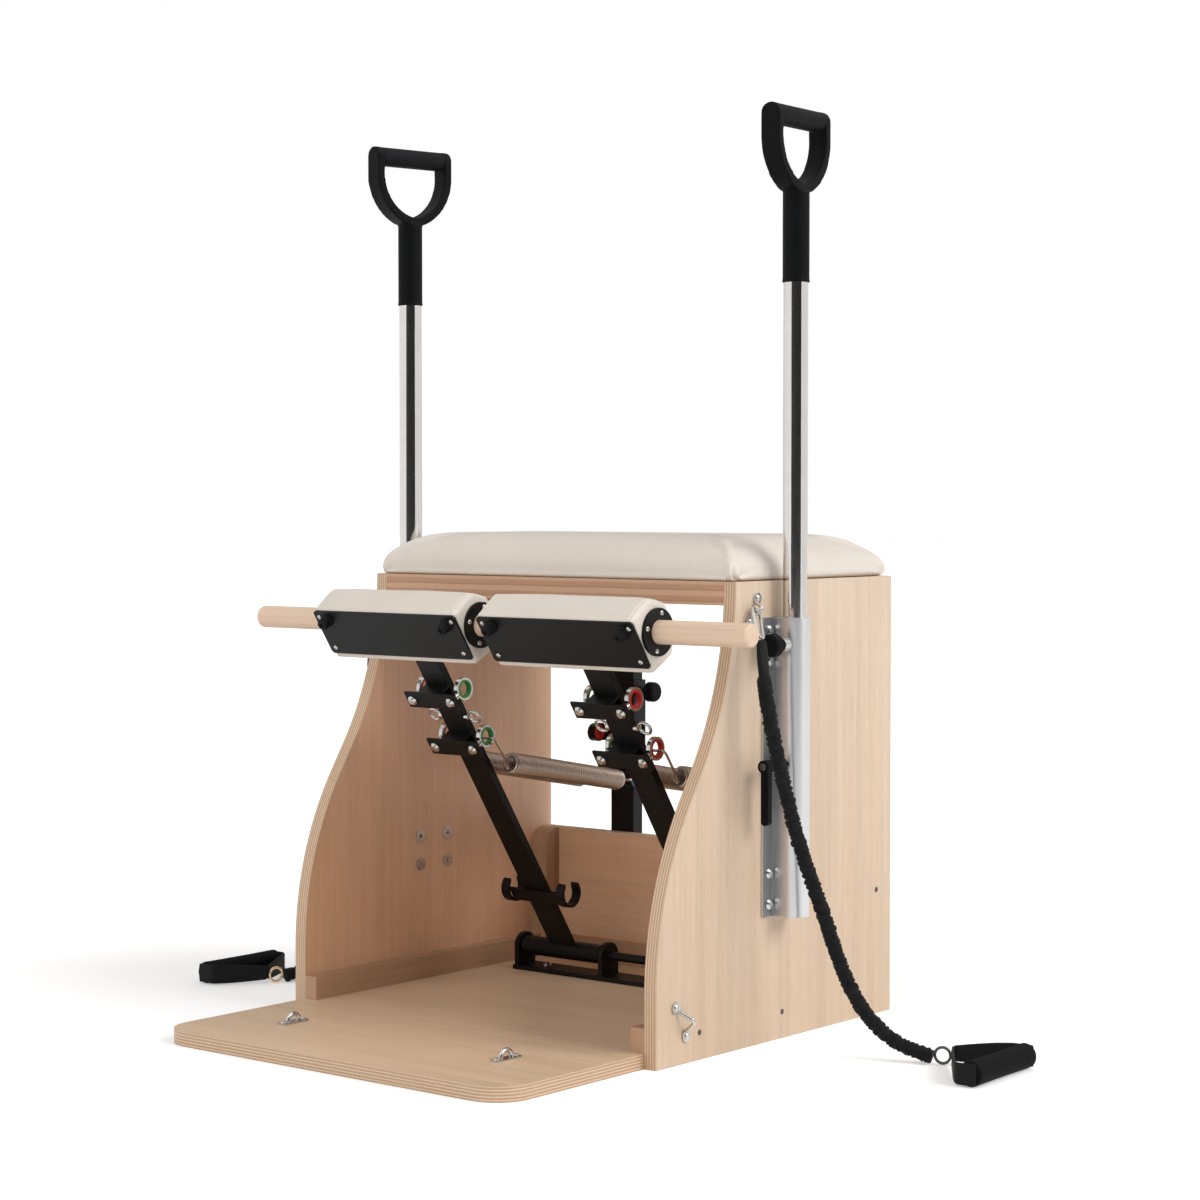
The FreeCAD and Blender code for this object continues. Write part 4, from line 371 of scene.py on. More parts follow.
MAPLE = (0.705, 0.510, 0.345)
PLY_LIGHT = (0.66, 0.475, 0.315)
PLY_DARK = (0.43, 0.27, 0.16)
CREAM = (0.685, 0.628, 0.560)
BLACK = (0.0022, 0.0020, 0.0019)
RED = (0.56, 0.022, 0.020)
PEDAL_X = 141.0
CARRIAGE_X = 150.0

panel_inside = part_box("side_panel_right")[0][0] + 0.002
panel_wood = plywood("panel_plywood", 0, 2, MAPLE, PLY_LIGHT, PLY_DARK, 1.9, panel_inside)
board_wood = plywood("board_plywood", 2, 0, MAPLE, PLY_LIGHT, PLY_DARK)
# Painted shade: the rear panel is a warmer, darker copy of the maple, for the shade between the panels.
shaded_rear_wood = plywood("rear_plywood_shaded", 1, 0, (0.735, 0.460, 0.290), PLY_LIGHT, PLY_DARK)
seat_wood = plywood("seat_plywood", 2, 0, MAPLE, (0.56, 0.33, 0.20), (0.43, 0.23, 0.13), 7.0)
cleat_wood = solid_wood("cleat_wood", 1, (0.44, 0.265, 0.16))
# Painted shade: the corner gussets' dark brown stands in for the shade they sit in.
shaded_gusset_wood = solid_wood("shaded_gusset_wood", 2, (0.42, 0.25, 0.15))
beech = solid_wood("beech_dowel", 0, (0.70, 0.515, 0.375), 0.8)
core_wood = solid_wood("core_wood", 0, (0.52, 0.38, 0.25), 1.0)
seat_vinyl = vinyl("seat_vinyl", CREAM)
pad_vinyl = vinyl("pad_vinyl", CREAM)
black_steel = powder_coat("black_steel", BLACK)
black_plastic = moulded("black_plastic", (0.0024, 0.0028, 0.0035))
grip_rubber = moulded("grip_rubber", (0.0075, 0.0080, 0.0092), 0.62, 900.0, 0.0004, 0.35)
foam_rubber = moulded("foam_rubber", (0.0025, 0.0028, 0.0034), 0.7, 2100.0, 0.0004, 0.3)
bumper_rubber = moulded("bumper_rubber", (0.010, 0.010, 0.011), 0.6)
bush_plastic = moulded("bush_plastic", (0.016, 0.016, 0.017), 0.45)
stainless = metal("stainless_tube", (0.745, 0.73, 0.715), 0.09, 2, 900.0, 0.05, 0.0)
aluminium = extrusion("anodised_aluminium", (0.67, 0.675, 0.69), 0)
zinc = metal("zinc_plate", (0.60, 0.59, 0.57), 0.24)
wire_steel = metal("bright_wire", (0.58, 0.57, 0.55), 0.18)
brass = metal("brass_wire", (0.76, 0.56, 0.36), 0.24)
dark_screw = metal("blackened_screw", (0.10, 0.095, 0.09), 0.42)
spring_wire = metal("spring_wire", (0.56, 0.475, 0.405), 0.28, None, 1500.0, 0.08, 0.0)
strap_cloth = cloth("strap_cloth", (0.0085, 0.0085, 0.009))
web_cloth = cloth("web_cloth", (0.009, 0.009, 0.0095), 1000.0)
arm_liner = sided_plastic("arm_liner", PEDAL_X, RED, (0.028, 0.27, 0.045))
carriage_liner = sided_plastic("carriage_liner", CARRIAGE_X, RED, (0.045, 0.33, 0.56))

finishes = {
    "base_board": board_wood, "rear_panel": shaded_rear_wood, "seat_board": seat_wood, "base_cleats": cleat_wood,
    "corner_gussets": shaded_gusset_wood, "dowel": beech, "sleeve_fasteners": zinc, "strap_hooks": wire_steel,
    "hook_screws": zinc, "panel_screws": dark_screw, "floor_eyes": wire_steel, "pivot_bracket": black_steel,
    "pivot_shaft": black_steel, "frame_bolts": zinc, "spring_posts": black_steel,
}
for side, _ in SIDES:
    finishes.update({
        "side_panel_" + side: panel_wood, "pole_sleeve_" + side: aluminium, "pole_" + side: stainless,
        "plunger_" + side: black_plastic,
        "pedal_arm_" + side: black_steel, "pivot_bushes_" + side: bush_plastic,
        "spring_bars_" + side: black_steel, "arm_eye_bolts_" + side: wire_steel,
        "eye_liners_" + side: arm_liner, "dowel_cradle_" + side: black_steel,
        "pedal_core_" + side: core_wood, "pedal_plate_" + side: black_steel,
        "pedal_bumpers_" + side: bumper_rubber, "dowel_flanges_" + side: black_steel,
        "carriage_" + side: black_steel, "carriage_knob_" + side: black_plastic,
    })
for node_name, finish in finishes.items():
    for material_slot in nodes[node_name].material_slots:
        material_slot.material = finish


# ---------------------------------------------------------------- mesh helpers
def add_mesh(name, verts, faces, material, sharp=None):
    mesh = bpy.data.meshes.new(name)
    mesh.from_pydata([tuple(v) for v in verts], [], [tuple(f) for f in faces])
    mesh.materials.append(material)
    for polygon in mesh.polygons:
        polygon.use_smooth = True
    if sharp is not None:
        mesh.set_sharp_from_angle(angle=math.radians(sharp))
    mesh.update()
    obj = bpy.data.objects.new(name, mesh)
    scene.collection.objects.link(obj)
    return obj


def ring_faces(rows, count, closed_rows=False, start=0):
    """Quads between rows of count points; each row is a closed ring."""
    faces = []
    last = rows if closed_rows else rows - 1
    for i in range(last):
        a = start + i * count
        b = start + ((i + 1) % rows) * count
        for j in range(count):
            k = (j + 1) % count
            faces.append((a + j, a + k, b + k, b + j))
    return faces


def across_of(axis):
    """A direction square to an axis."""
    seed = UP if abs(axis.z) < 0.9 else Vector((1, 0, 0))
    return axis.cross(seed).normalized()


def end_faces(rows, count, start=0):
    """The two many-sided faces that close the first and the last ring."""
    last = start + (rows - 1) * count
    return [tuple(start + j for j in reversed(range(count))), tuple(last + j for j in range(count))]


def carried_frames(points, closed=False):
    """Tangent and two cross directions at each point, turned as little as possible along the way."""
    count = len(points)
    tangents = []
    for i in range(count):
        if closed:
            step = points[(i + 1) % count] - points[i - 1]
        else:
            step = points[min(i + 1, count - 1)] - points[max(i - 1, 0)]
        tangents.append(step.normalized())
    side = across_of(tangents[0])
    result = []
    for i in range(count):
        if i:
            side = tangents[i - 1].rotation_difference(tangents[i]) @ side
        side = (side - tangents[i] * side.dot(tangents[i])).normalized()
        result.append((tangents[i], side, tangents[i].cross(side)))
    if closed:
        slip = math.atan2(result[0][1].dot(result[-1][2]), result[0][1].dot(result[-1][1]))
        for i in range(count):
            t, u, v = result[i]
            a = slip * i / count
            result[i] = (t, u * math.cos(a) + v * math.sin(a), v * math.cos(a) - u * math.sin(a))
    return result


def lengths_along(points):
    total = [0.0]
    for a, b in zip(points[:-1], points[1:]):
        total.append(total[-1] + (b - a).length)
    return total


def tube_data(points, radius, sides, closed=False, base=0):
    """Vertices and faces of a tube; radius is a length in metres or a function of (distance, angle)."""
    shown = carried_frames(points, closed)
    along = lengths_along(points)
    verts = []
    for point, (t, u, v), s in zip(points, shown, along):
        for j in range(sides):
            a = TAU * j / sides
            r = radius(s, a) if callable(radius) else radius
            verts.append(point + u * (r * math.cos(a)) + v * (r * math.sin(a)))
    faces = ring_faces(len(points), sides, closed, base)
    if not closed:
        faces += end_faces(len(points), sides, base)
    return verts, faces


def add_tube(name, points, radius, sides, material, closed=False):
    verts, faces = tube_data(points, radius, sides, closed)
    return add_mesh(name, verts, faces, material)


def lathe_data(centre, axis, profile, sides, base=0, shape=None):
    """Turned form: profile is (height, radius) in millimetres along axis from centre."""
    axis = Vector(axis).normalized()
    u = across_of(axis)
    v = axis.cross(u)
    verts = []
    for row, (height, radius) in enumerate(profile):
        for j in range(sides):
            a = TAU * j / sides
            r = radius if shape is None else shape(row, radius, a)
            verts.append(centre + (axis * height + u * (r * math.cos(a)) + v * (r * math.sin(a))) * MM)
    faces = ring_faces(len(profile), sides, False, base) + end_faces(len(profile), sides, base)
    return verts, faces


def hexagon_radius(flat, angle):
    """Distance to a hexagon's side, where flat is from its middle to a side."""
    part = (angle + math.pi / 6.0) % (math.pi / 3.0) - math.pi / 6.0
    return flat / math.cos(part)


def button_data(centre, axis, radius, height, socket, base=0):
    """Domed socket-head screw with a six-sided recess."""
    profile = [(0.0, radius), (height * 0.22, radius), (height * 0.52, radius * 0.93),
               (height * 0.82, radius * 0.74), (height, radius * 0.5), (height, socket * 1.02),
               (height * 0.3, socket), (height * 0.22, socket * 0.2)]

    def shape(row, r, angle):
        if row in (5, 6):
            return hexagon_radius(r * 0.9, angle)
        return r

    return lathe_data(centre, axis, profile, 24, base, shape)


def combined(name, parts, material, sharp=35.0):
    """One mesh from several (verts, faces) builders that take the next vertex number."""
    verts, faces = [], []
    for build in parts:
        more, extra = build(len(verts))
        verts += more
        faces += extra
    return add_mesh(name, verts, faces, material, sharp)


def settle(obj, body, slot, *replaced):
    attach(obj, body)
    if replaced:
        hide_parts(*replaced)


def baked(obj):
    """Applies an object's modifiers to its own mesh."""
    graph = bpy.context.evaluated_depsgraph_get()
    graph.update()
    mesh = bpy.data.meshes.new_from_object(obj.evaluated_get(graph))
    old = obj.data
    obj.modifiers.clear()
    obj.data = mesh
    bpy.data.meshes.remove(old)
    return obj


def subdivided(obj):
    """Rounds a mesh by one subdivision and keeps the result."""
    rounder = obj.modifiers.new("rounder", "SUBSURF")
    rounder.levels = 1
    rounder.render_levels = 1
    return baked(obj)


def rounded_copy(name, node, material, voxel, rounds, filler=None):
    """A copy of a solid with its edges moulded round."""
    mesh = nodes[node].data.copy()
    mesh.name = name
    mesh.materials.clear()
    mesh.materials.append(material)
    work = bmesh.new()
    work.from_mesh(mesh)
    if filler is not None:
        extra = [work.verts.new(point) for point in filler[0]]
        for face in filler[1]:
            work.faces.new([extra[i] for i in face])
    bmesh.ops.remove_doubles(work, verts=work.verts, dist=1e-6)
    work.to_mesh(mesh)
    work.free()
    obj = bpy.data.objects.new(name, mesh)
    scene.collection.objects.link(obj)
    remesh = obj.modifiers.new("mould", "REMESH")
    remesh.mode = "VOXEL"
    remesh.voxel_size = voxel * MM
    relax = obj.modifiers.new("relax", "SMOOTH")
    relax.factor = 0.5
    relax.iterations = rounds
    baked(obj)
    for polygon in obj.data.polygons:
        polygon.use_smooth = True
    return obj


# ---------------------------------------------------------------- straps
CORD_DIAMETER = 17.0
PUCKER_PITCH_M = 0.0074
CARABINER_DROP = 43.0
CARABINER_WIRE = 2.15
RING_RADIUS = 9.5
RING_WIRE = 1.8
GRIP_RADIUS = 15.0
GRIP_HEIGHT = 15.3
RIGHT_CORD = (
    (341.0, 37.0, 443.0), (346.0, 40.0, 404.0), (355.0, 44.0, 360.0), (367.0, 46.0, 314.0),
    (380.0, 49.0, 265.0), (392.0, 60.0, 217.0), (403.0, 75.0, 168.0), (416.0, 84.0, 118.0),
    (434.0, 91.0, 74.0), (461.0, 98.0, 39.0), (494.0, 107.0, 17.0), (528.0, 117.0, 9.5))
LEFT_CORD = (
    (-318.0, 46.0, 443.0), (-320.0, 49.0, 402.0), (-325.0, 48.0, 357.0), (-332.0, 47.0, 309.0),
    (-341.0, 48.0, 260.0), (-352.0, 53.0, 211.0), (-364.0, 62.0, 164.0), (-379.0, 72.0, 120.0),
    (-397.0, 79.0, 82.0), (-416.0, 79.0, 51.0), (-435.0, 68.0, 27.0), (-451.0, 44.0, 12.0),
    (-462.0, 16.0, 9.5))
STRAPS = {
    "right": {"side": 1.0, "route": RIGHT_CORD, "length": 507.0, "hang": (335.0, 40.0, 494.0),
              "grip": ((631.0, 34.0), (626.0, 168.0)), "ring": dark_screw},
    "left": {"side": -1.0, "route": LEFT_CORD, "length": 505.0, "hang": (-316.0, 42.0, 494.0),
             "grip": ((-537.0, -64.0), (-538.0, 70.0)), "ring": brass},
}


def spline_points(name, route, fineness):
    """Points along a smooth curve steered by the route's points."""
    curve = bpy.data.curves.new(name, "CURVE")
    curve.dimensions = "3D"
    spline = curve.splines.new("NURBS")
    spline.points.add(len(route) - 1)
    for point, (x, y, z) in zip(spline.points, route):
        point.co = (x * MM, y * MM, z * MM, 1.0)
    spline.order_u = 3
    spline.use_endpoint_u = True
    spline.resolution_u = fineness
    carrier = bpy.data.objects.new(name, curve)
    scene.collection.objects.link(carrier)
    bpy.context.view_layer.update()
    line = bpy.data.meshes.new_from_object(carrier)
    points = [v.co.copy() for v in line.vertices]
    bpy.data.meshes.remove(line)
    bpy.data.objects.remove(carrier)
    bpy.data.curves.remove(curve)
    return points


def gathered(seed):
    """Radius of a ruched sleeve: uneven puckers that wander round the cord."""
    def radius(s, a):
        drift = noise.noise(Vector((s * 55.0, seed, 0.0))) * 1.1
        swirl = 0.55 * math.sin(a + 9.0 * drift) + 0.3 * math.sin(2.0 * a + s * 140.0)
        phase = s / PUCKER_PITCH_M + swirl + 2.0 * drift
        pucker = abs(math.sin(math.pi * phase)) ** 0.75
        wave = noise.noise(Vector((s * 160.0, math.cos(a) * 1.2 + seed, math.sin(a) * 1.2)))
        return (CORD_DIAMETER / 2.0) * MM * (0.79 + 0.32 * pucker + 0.15 * wave)
    return radius


def ribbon(name, points, heights, thickness, material, rise):
    """Webbing on edge: a band of given heights along a path, thickness across it, edges rounded."""
    shape = ((-0.5, -0.34), (-0.34, -0.5), (0.34, -0.5), (0.5, -0.34), (0.5, 0.34), (0.34, 0.5),
             (-0.34, 0.5), (-0.5, 0.34))
    verts = []
    count = len(points)
    for i, point in enumerate(points):
        step = (points[min(i + 1, count - 1)] - points[max(i - 1, 0)]).normalized()
        across = step.cross(rise).normalized()
        upward = across.cross(step).normalized()
        for a, b in shape:
            edge = upward * (heights[i] * b) + across * (thickness[i] * a)
            verts.append(point + edge)
    faces = ring_faces(count, len(shape)) + end_faces(count, len(shape))
    return subdivided(add_mesh(name, verts, faces, material))


def stitch_data(points, outward, length, radius):
    """Short thread stitches laid end to end on a face."""
    parts = []
    for a, b in zip(points[:-1:2], points[1::2]):
        middle = (a + b) / 2.0 + outward * radius * 0.6
        reach = (b - a).normalized() * (length / 2.0)
        raised = outward * radius * 0.5
        line = [middle - reach, middle - reach * 0.5 + raised, middle + reach * 0.5 + raised, middle + reach]
        parts.append(lambda base, line=line: tube_data(line, radius, 6, False, base))
    return parts


def build_strap(label, facts):
    side = facts["side"]
    route = facts["route"]
    points = spline_points("route_" + label, route, 40)
    cord = add_tube("strap_cord_gathered_" + label, points, gathered(3.0 + side), 20, strap_cloth)

    # Carabiner: a closed wire, broad over the hook and narrow at the webbing, with a hinged gate.
    nose = Vector((side * 320.0, 64.0, 537.0))
    away = Vector((0.0, 4.0, 16.0)).normalized()
    low = Vector((side * 302.5, 60.0, 521.0)) + away * 6.6
    wire = (nose - low).normalized()
    rest = low + wire * 8.0
    down = (Vector(facts["hang"]) - rest).normalized()
    hang = rest - down * 5.5
    across = down.cross(wire).normalized()
    outline = []
    for i in range(72):
        a = TAU * i / 72
        drop = 0.5 - 0.5 * math.cos(a)
        half = 7.6 - 2.2 * drop
        outline.append((hang + down * (CARABINER_DROP * drop) + across * (half * math.copysign(
            min(1.0, abs(math.sin(a)) * 2.1) ** 0.55, math.sin(a)))) * MM)
    link = add_tube("carabiner_" + label, outline, CARABINER_WIRE * MM, 12, wire_steel, True)
    normal = across.cross(down).normalized()
    gate_top = hang + down * 9.0 + across * 7.4
    gate_end = hang + down * 36.0 + across * 5.9
    gate = combined("carabiner_gate_" + label, [
        lambda base: tube_data([(gate_top + (gate_end - gate_top) * (i / 8.0)) * MM for i in range(9)],
                               2.75 * MM, 12, False, base),
        lambda base: lathe_data((gate_end + normal * -3.4) * MM, normal,
                                [(0.0, 1.0), (0.3, 1.6), (6.5, 1.6), (6.8, 1.0)], 16, base)], zinc)

    # Webbing loop from the carabiner to the cord, sewn flat and gathered at its lower end.
    top = hang + down * (CARABINER_DROP + 4.1)
    head = Vector(route[0])
    run = head - top
    line = []
    square = run.cross(Vector((side, 0.0, 0.0))).normalized()
    heights = []
    depths = []
    for i in range(21):
        f = i / 20.0
        line.append((top + run * f) * MM)
        heights.append((15.0 + 5.0 * math.sin(math.pi * min(1.0, f * 1.25)) - 3.0 * f) * MM)
        depths.append((7.0 + 4.5 * f * f) * MM)
    loop = ribbon("strap_loop_" + label, line, heights, depths, web_cloth, square)
    tip = run.normalized()
    knot = add_tube("strap_knot_" + label,
                    [(head - tip * 15.0 + tip * i) * MM for i in range(25)],
                    lambda s, a: (6.9 + 1.9 * math.sin(math.pi * min(1.0, s / 0.024)) ** 0.7
                                  + 0.5 * math.sin(5.0 * a + s * 420.0)
                                  + 0.35 * math.sin(9.0 * a - s * 300.0)) * MM, 30, strap_cloth)

    # Ring, two bands and a foam grip at the cord's lower end.
    before, last = Vector(route[-2]), Vector(route[-1])
    flat = Vector((last.x - before.x, last.y - before.y, 0.0)).normalized()
    outer_radius = RING_RADIUS + RING_WIRE
    centre = last + flat * (outer_radius + CORD_DIAMETER / 8.0)
    centre = Vector((centre.x, centre.y, outer_radius + 0.3))
    loop_ring = []
    for i in range(48):
        a = TAU * i / 48
        spoke = flat * math.cos(a) + UP * math.sin(a)
        loop_ring.append((centre + spoke * RING_RADIUS) * MM)
    ring = add_tube("strap_ring_" + label, loop_ring, RING_WIRE * MM, 14, facts["ring"], True)
    apex = centre + flat * (outer_radius + 0.3)
    near, far = [Vector((x, y, GRIP_HEIGHT)) for x, y in facts["grip"]]
    along = (far - near).normalized()
    span = (far - near).length
    profile = [(0.0, 9.6), (0.0, 13.2), (0.6, 14.2), (1.8, 14.9), (4.0, GRIP_RADIUS)]
    rim = [(span - height, radius) for height, radius in reversed(profile)]
    steps = 28
    for i in range(1, steps):
        f = i / steps
        profile.append((4.0 + (span - 8.0) * f, GRIP_RADIUS - 0.35 * math.sin(math.pi * f)))
    profile += rim
    verts, faces = lathe_data(near * MM, along, profile, 48)
    grip = add_mesh("strap_grip_" + label, verts, faces, foam_rubber, 50.0)

    bands = []
    mids = []
    toward = Vector((apex.x, apex.y, 0.0))
    plug_parts = []
    for tag, face, outward in (("near", near, -along), ("far", far, along)):
        tab = face + outward * 1.8
        tab = Vector((tab.x, tab.y, 0.0))
        inward = (toward - tab) - along * along.dot(toward - tab)
        inward.normalize()
        knee = tab + inward * 18.0
        corners = [tab - inward * 9.5, tab - inward * 2.0, tab + inward * 8.0, knee,
                   knee + (toward - knee) * 0.22, knee + (toward - knee) * 0.5,
                   knee + (toward - knee) * 0.8, toward + flat * 1.0]
        path = spline_points("band_" + label + tag, [tuple(c) for c in corners], 8)
        path = [Vector((p.x, p.y, GRIP_RADIUS * MM)) for p in path]
        reach = lengths_along(path)
        heights = []
        depths = []
        for p, s in zip(path, reach):
            f = s / reach[-1]
            heights.append((26.0 - 7.0 * max(0.0, (f - 0.45) / 0.55) ** 1.4) * MM)
            depths.append((2.9 + 0.5 * f) * MM)
        bands.append(ribbon("strap_band_" + tag + "_" + label, path, heights, depths, web_cloth, UP))
        # Rows of stitching beside both edges of the band.
        parts = []
        for lift in (-0.36, 0.36):
            line = [p + UP * (height * lift) for p, height, s in zip(path, heights, reach)
                    if 0.16 < s / reach[-1] < 0.9]
            outer = (line[-1] - line[0]).normalized().cross(UP)
            if outer.dot(outward) < 0:
                outer = -outer
            line = [p + outer * 1.55 * MM for p in line]
            parts += stitch_data(line, outer, 3.0 * MM, 0.32 * MM)
        mids.append(combined("strap_stitches_" + tag + "_" + label, parts, web_cloth))
        # Webbing passes through the grip's bore and shows as a plug at both ends.
        plug_parts.append(lambda base, face=face, outward=outward: lathe_data(
            (face - outward * 2.0) * MM, outward, [(0.0, 9.2), (1.6, 9.2), (2.6, 8.4), (2.9, 6.0)], 24, base))
    plugs = combined("strap_grip_plugs_" + label, plug_parts, web_cloth)

    pieces = [link, gate, loop, knot, ring, grip, plugs] + bands + mids
    for piece in pieces:
        slot = "zinc_steel" if piece in (link, gate, ring) else "strap_fabric"
        settle(piece, "frame", slot)
    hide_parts("strap_hardware")
    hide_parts("strap_hardware")
    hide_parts("strap_handles")
    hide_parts("strap_handles")
    settle(cord, "frame", "strap_fabric", "strap_cord_" + label)


for strap_label, strap_facts in STRAPS.items():
    build_strap(strap_label, strap_facts)


# ---------------------------------------------------------------- seat cushion
CUSHION_HALF = 299.0
CUSHION_FRONT = 32.0
CUSHION_REAR = 373.0
CUSHION_CORNER = 12.0
CUSHION_FOOT = 570.0
CUSHION_EDGE = 583.0
CUSHION_CROWN = 38.2
CUSHION_DRAW = 0.6
CROWN_RUN = (79.0, 74.0, 99.0)
CUSHION_VOXEL = 4.8
PLEAT_REACH = 46.0
PLEAT_TOP = 604.0


def rounded_outline(x0, x1, y0, y1, radius, long_count=80, short_count=44, corner_count=20):
    """Evenly numbered points round a rectangle with round corners, from the front left."""
    points = []
    corners = ((x1 - radius, y0 + radius, -90.0), (x1 - radius, y1 - radius, 0.0),
               (x0 + radius, y1 - radius, 90.0), (x0 + radius, y0 + radius, 180.0))
    starts = ((x0 + radius, y0), (x1, y0 + radius), (x1 - radius, y1), (x0, y1 - radius))
    ends = ((x1 - radius, y0), (x1, y1 - radius), (x0 + radius, y1), (x0, y0 + radius))
    for k in range(4):
        count = long_count if k % 2 == 0 else short_count
        for i in range(count):
            f = i / count
            points.append((starts[k][0] + (ends[k][0] - starts[k][0]) * f,
                           starts[k][1] + (ends[k][1] - starts[k][1]) * f))
        cx, cy, first = corners[k]
        for i in range(corner_count):
            a = math.radians(first + 90.0 * i / corner_count)
            points.append((cx + radius * math.cos(a), cy + radius * math.sin(a)))
    return points


def swollen(obj, held, pressure, steps, cap):
    """Blows a cover up a little as cloth, holding the points that held() picks, and keeps the result."""
    start = np.array([v.co for v in obj.data.vertices])
    group = obj.vertex_groups.new(name="held")
    group.add([i for i, co in enumerate(start) if held(co)], 1.0, "REPLACE")
    cover = obj.modifiers.new("cover", "CLOTH")
    cover.settings.quality = 6
    cover.settings.mass = 0.4
    cover.settings.tension_stiffness = 25.0
    cover.settings.compression_stiffness = 25.0
    cover.settings.shear_stiffness = 10.0
    cover.settings.bending_stiffness = 2.0
    cover.settings.use_pressure = True
    cover.settings.uniform_pressure_force = pressure
    cover.settings.vertex_group_mass = "held"
    cover.settings.effector_weights.gravity = 0.0
    cover.collision_settings.use_collision = False
    cover.point_cache.frame_start = 1
    cover.point_cache.frame_end = steps
    for step in range(1, steps + 1):
        scene.frame_set(step)
    graph = bpy.context.evaluated_depsgraph_get()
    mesh = obj.evaluated_get(graph).to_mesh()
    moved = np.array([v.co for v in mesh.vertices])
    obj.evaluated_get(graph).to_mesh_clear()
    obj.modifiers.clear()
    shift = moved - start
    size = np.linalg.norm(shift, axis=1, keepdims=True)
    shift *= np.minimum(1.0, cap / np.maximum(size, 1e-9))
    obj.data.vertices.foreach_set("co", (start + shift).astype(np.float32).ravel())
    obj.data.update()
    obj.vertex_groups.clear()
    scene.frame_set(1)


def build_cushion():
    rows = []
    for lift, draw in ((0.2, 30.0), (0.2, 7.4), (1.2, 5.2), (3.5, 3.2), (7.5, 1.2), (13.0, CUSHION_DRAW)):
        rows.append((CUSHION_FOOT + lift, draw, draw, draw))
    for i in range(1, 16):
        a = math.radians(6.0 * i)
        f = 1.0 - math.cos(a)
        draws = [CUSHION_DRAW + run * f for run in CROWN_RUN]
        rows.append((CUSHION_EDGE + CUSHION_CROWN * math.sin(a), *draws))
    verts = []
    for z, sides_in, front_in, rear_in in rows:
        outline = rounded_outline(-CUSHION_HALF + sides_in, CUSHION_HALF - sides_in, CUSHION_FRONT + front_in,
                                  CUSHION_REAR - rear_in, CUSHION_CORNER)
        verts += [Vector((x, y, z)) * MM for x, y in outline]
    count = len(verts) // len(rows)
    faces = ring_faces(len(rows), count) + end_faces(len(rows), count)
    obj = add_mesh("seat_cushion_cover", verts, faces, seat_vinyl)
    obj.data.remesh_voxel_size = CUSHION_VOXEL * MM
    obj.data.use_remesh_fix_poles = False
    bpy.context.view_layer.objects.active = obj
    obj.select_set(True)
    bpy.ops.object.voxel_remesh()
    obj.select_set(False)
    swollen(obj, lambda co: co[2] < (CUSHION_FOOT + 3.5) * MM, 4.0, 20, 0.004)
    subdivided(obj)
    # Pleats where the cover is folded under each corner, and slight pulls along the lower edge.
    corners = [np.array((sign * CUSHION_HALF, y)) * MM
               for sign in (-1.0, 1.0) for y in (CUSHION_FRONT, CUSHION_REAR)]
    limit = (PLEAT_REACH * MM) ** 2
    work = bmesh.new()
    work.from_mesh(obj.data)
    near = [e for e in work.edges if max(v.co.z for v in e.verts) < PLEAT_TOP * MM and any(
        max((v.co.x - x) ** 2 + (v.co.y - y) ** 2 for v in e.verts) < limit for x, y in corners)]
    bmesh.ops.subdivide_edges(work, edges=near, cuts=1, smooth=1.0, use_grid_fill=True)
    work.to_mesh(obj.data)
    work.free()
    spots = np.array([v.co for v in obj.data.vertices])
    middle = np.array((0.0, (CUSHION_FRONT + CUSHION_REAR) / 2.0)) * MM
    shifted = spots.copy()
    folds = ((0.0008, 1.0, 0.0013), (0.0075, 0.95, 0.0014), (0.0150, 0.8, 0.0015), (0.0240, 0.5, 0.0018))
    for index, co in enumerate(spots):
        low = max(0.0, 1.0 - (co[2] - CUSHION_FOOT * MM) / 0.028)
        if low <= 0.0 or co[2] < (CUSHION_FOOT + 0.5) * MM:
            continue
        outward = co[:2] - middle
        outward = outward / np.linalg.norm(outward)
        dent = 0.0
        for corner in corners:
            if abs(co[0] - corner[0]) < 0.05 and abs(co[1] - corner[1]) < 0.02:
                drift = noise.noise(Vector((co[2] * 60.0, corner[0] * 9.0, corner[1] * 9.0)))
                inset = abs(co[0] - corner[0]) + 0.004 * drift
                for where, depth, width in folds:
                    d = abs(inset - where)
                    dent -= 2.9 * depth * math.exp(-(d / width) ** 2)
                    dent += 1.2 * depth * math.exp(-((d - 2.2 * width) / (1.1 * width)) ** 2)
        pull = noise.noise(Vector((co[0] * 26.0, co[1] * 26.0, 4.0))) * 0.5
        shifted[index, :2] += outward * ((dent + pull) * low ** 1.1 * MM)
    obj.data.vertices.foreach_set("co", shifted.astype(np.float32).ravel())
    obj.data.update()
    for polygon in obj.data.polygons:
        polygon.use_smooth = True
    settle(obj, "frame", "seat_vinyl", "seat_cushion")


build_cushion()

# ---------------------------------------------------------------- pedals
LEAN = math.radians(33.8)
PIVOT_Y = 240.0
PIVOT_Z = 50.0
PAD_HALF = 123.0
PAD_SEAM = 6.0
DOWEL_REACH = 560.0
DOWEL_AHEAD = 5.0
BORE_RADIUS = 16.2
PLATE_FACE = 38.4
FLANGE_FACE = 126.9
PEDAL_AHEAD = Vector((0.0, -math.cos(LEAN), -math.sin(LEAN)))


def pedal_point(side, x, s, t):
    """A point on a pedal: s up the arm from the pivot, t forward of it."""
    return Vector((side * PEDAL_X + x, PIVOT_Y - math.sin(LEAN) * s - math.cos(LEAN) * t,
                   PIVOT_Z + math.cos(LEAN) * s - math.sin(LEAN) * t))


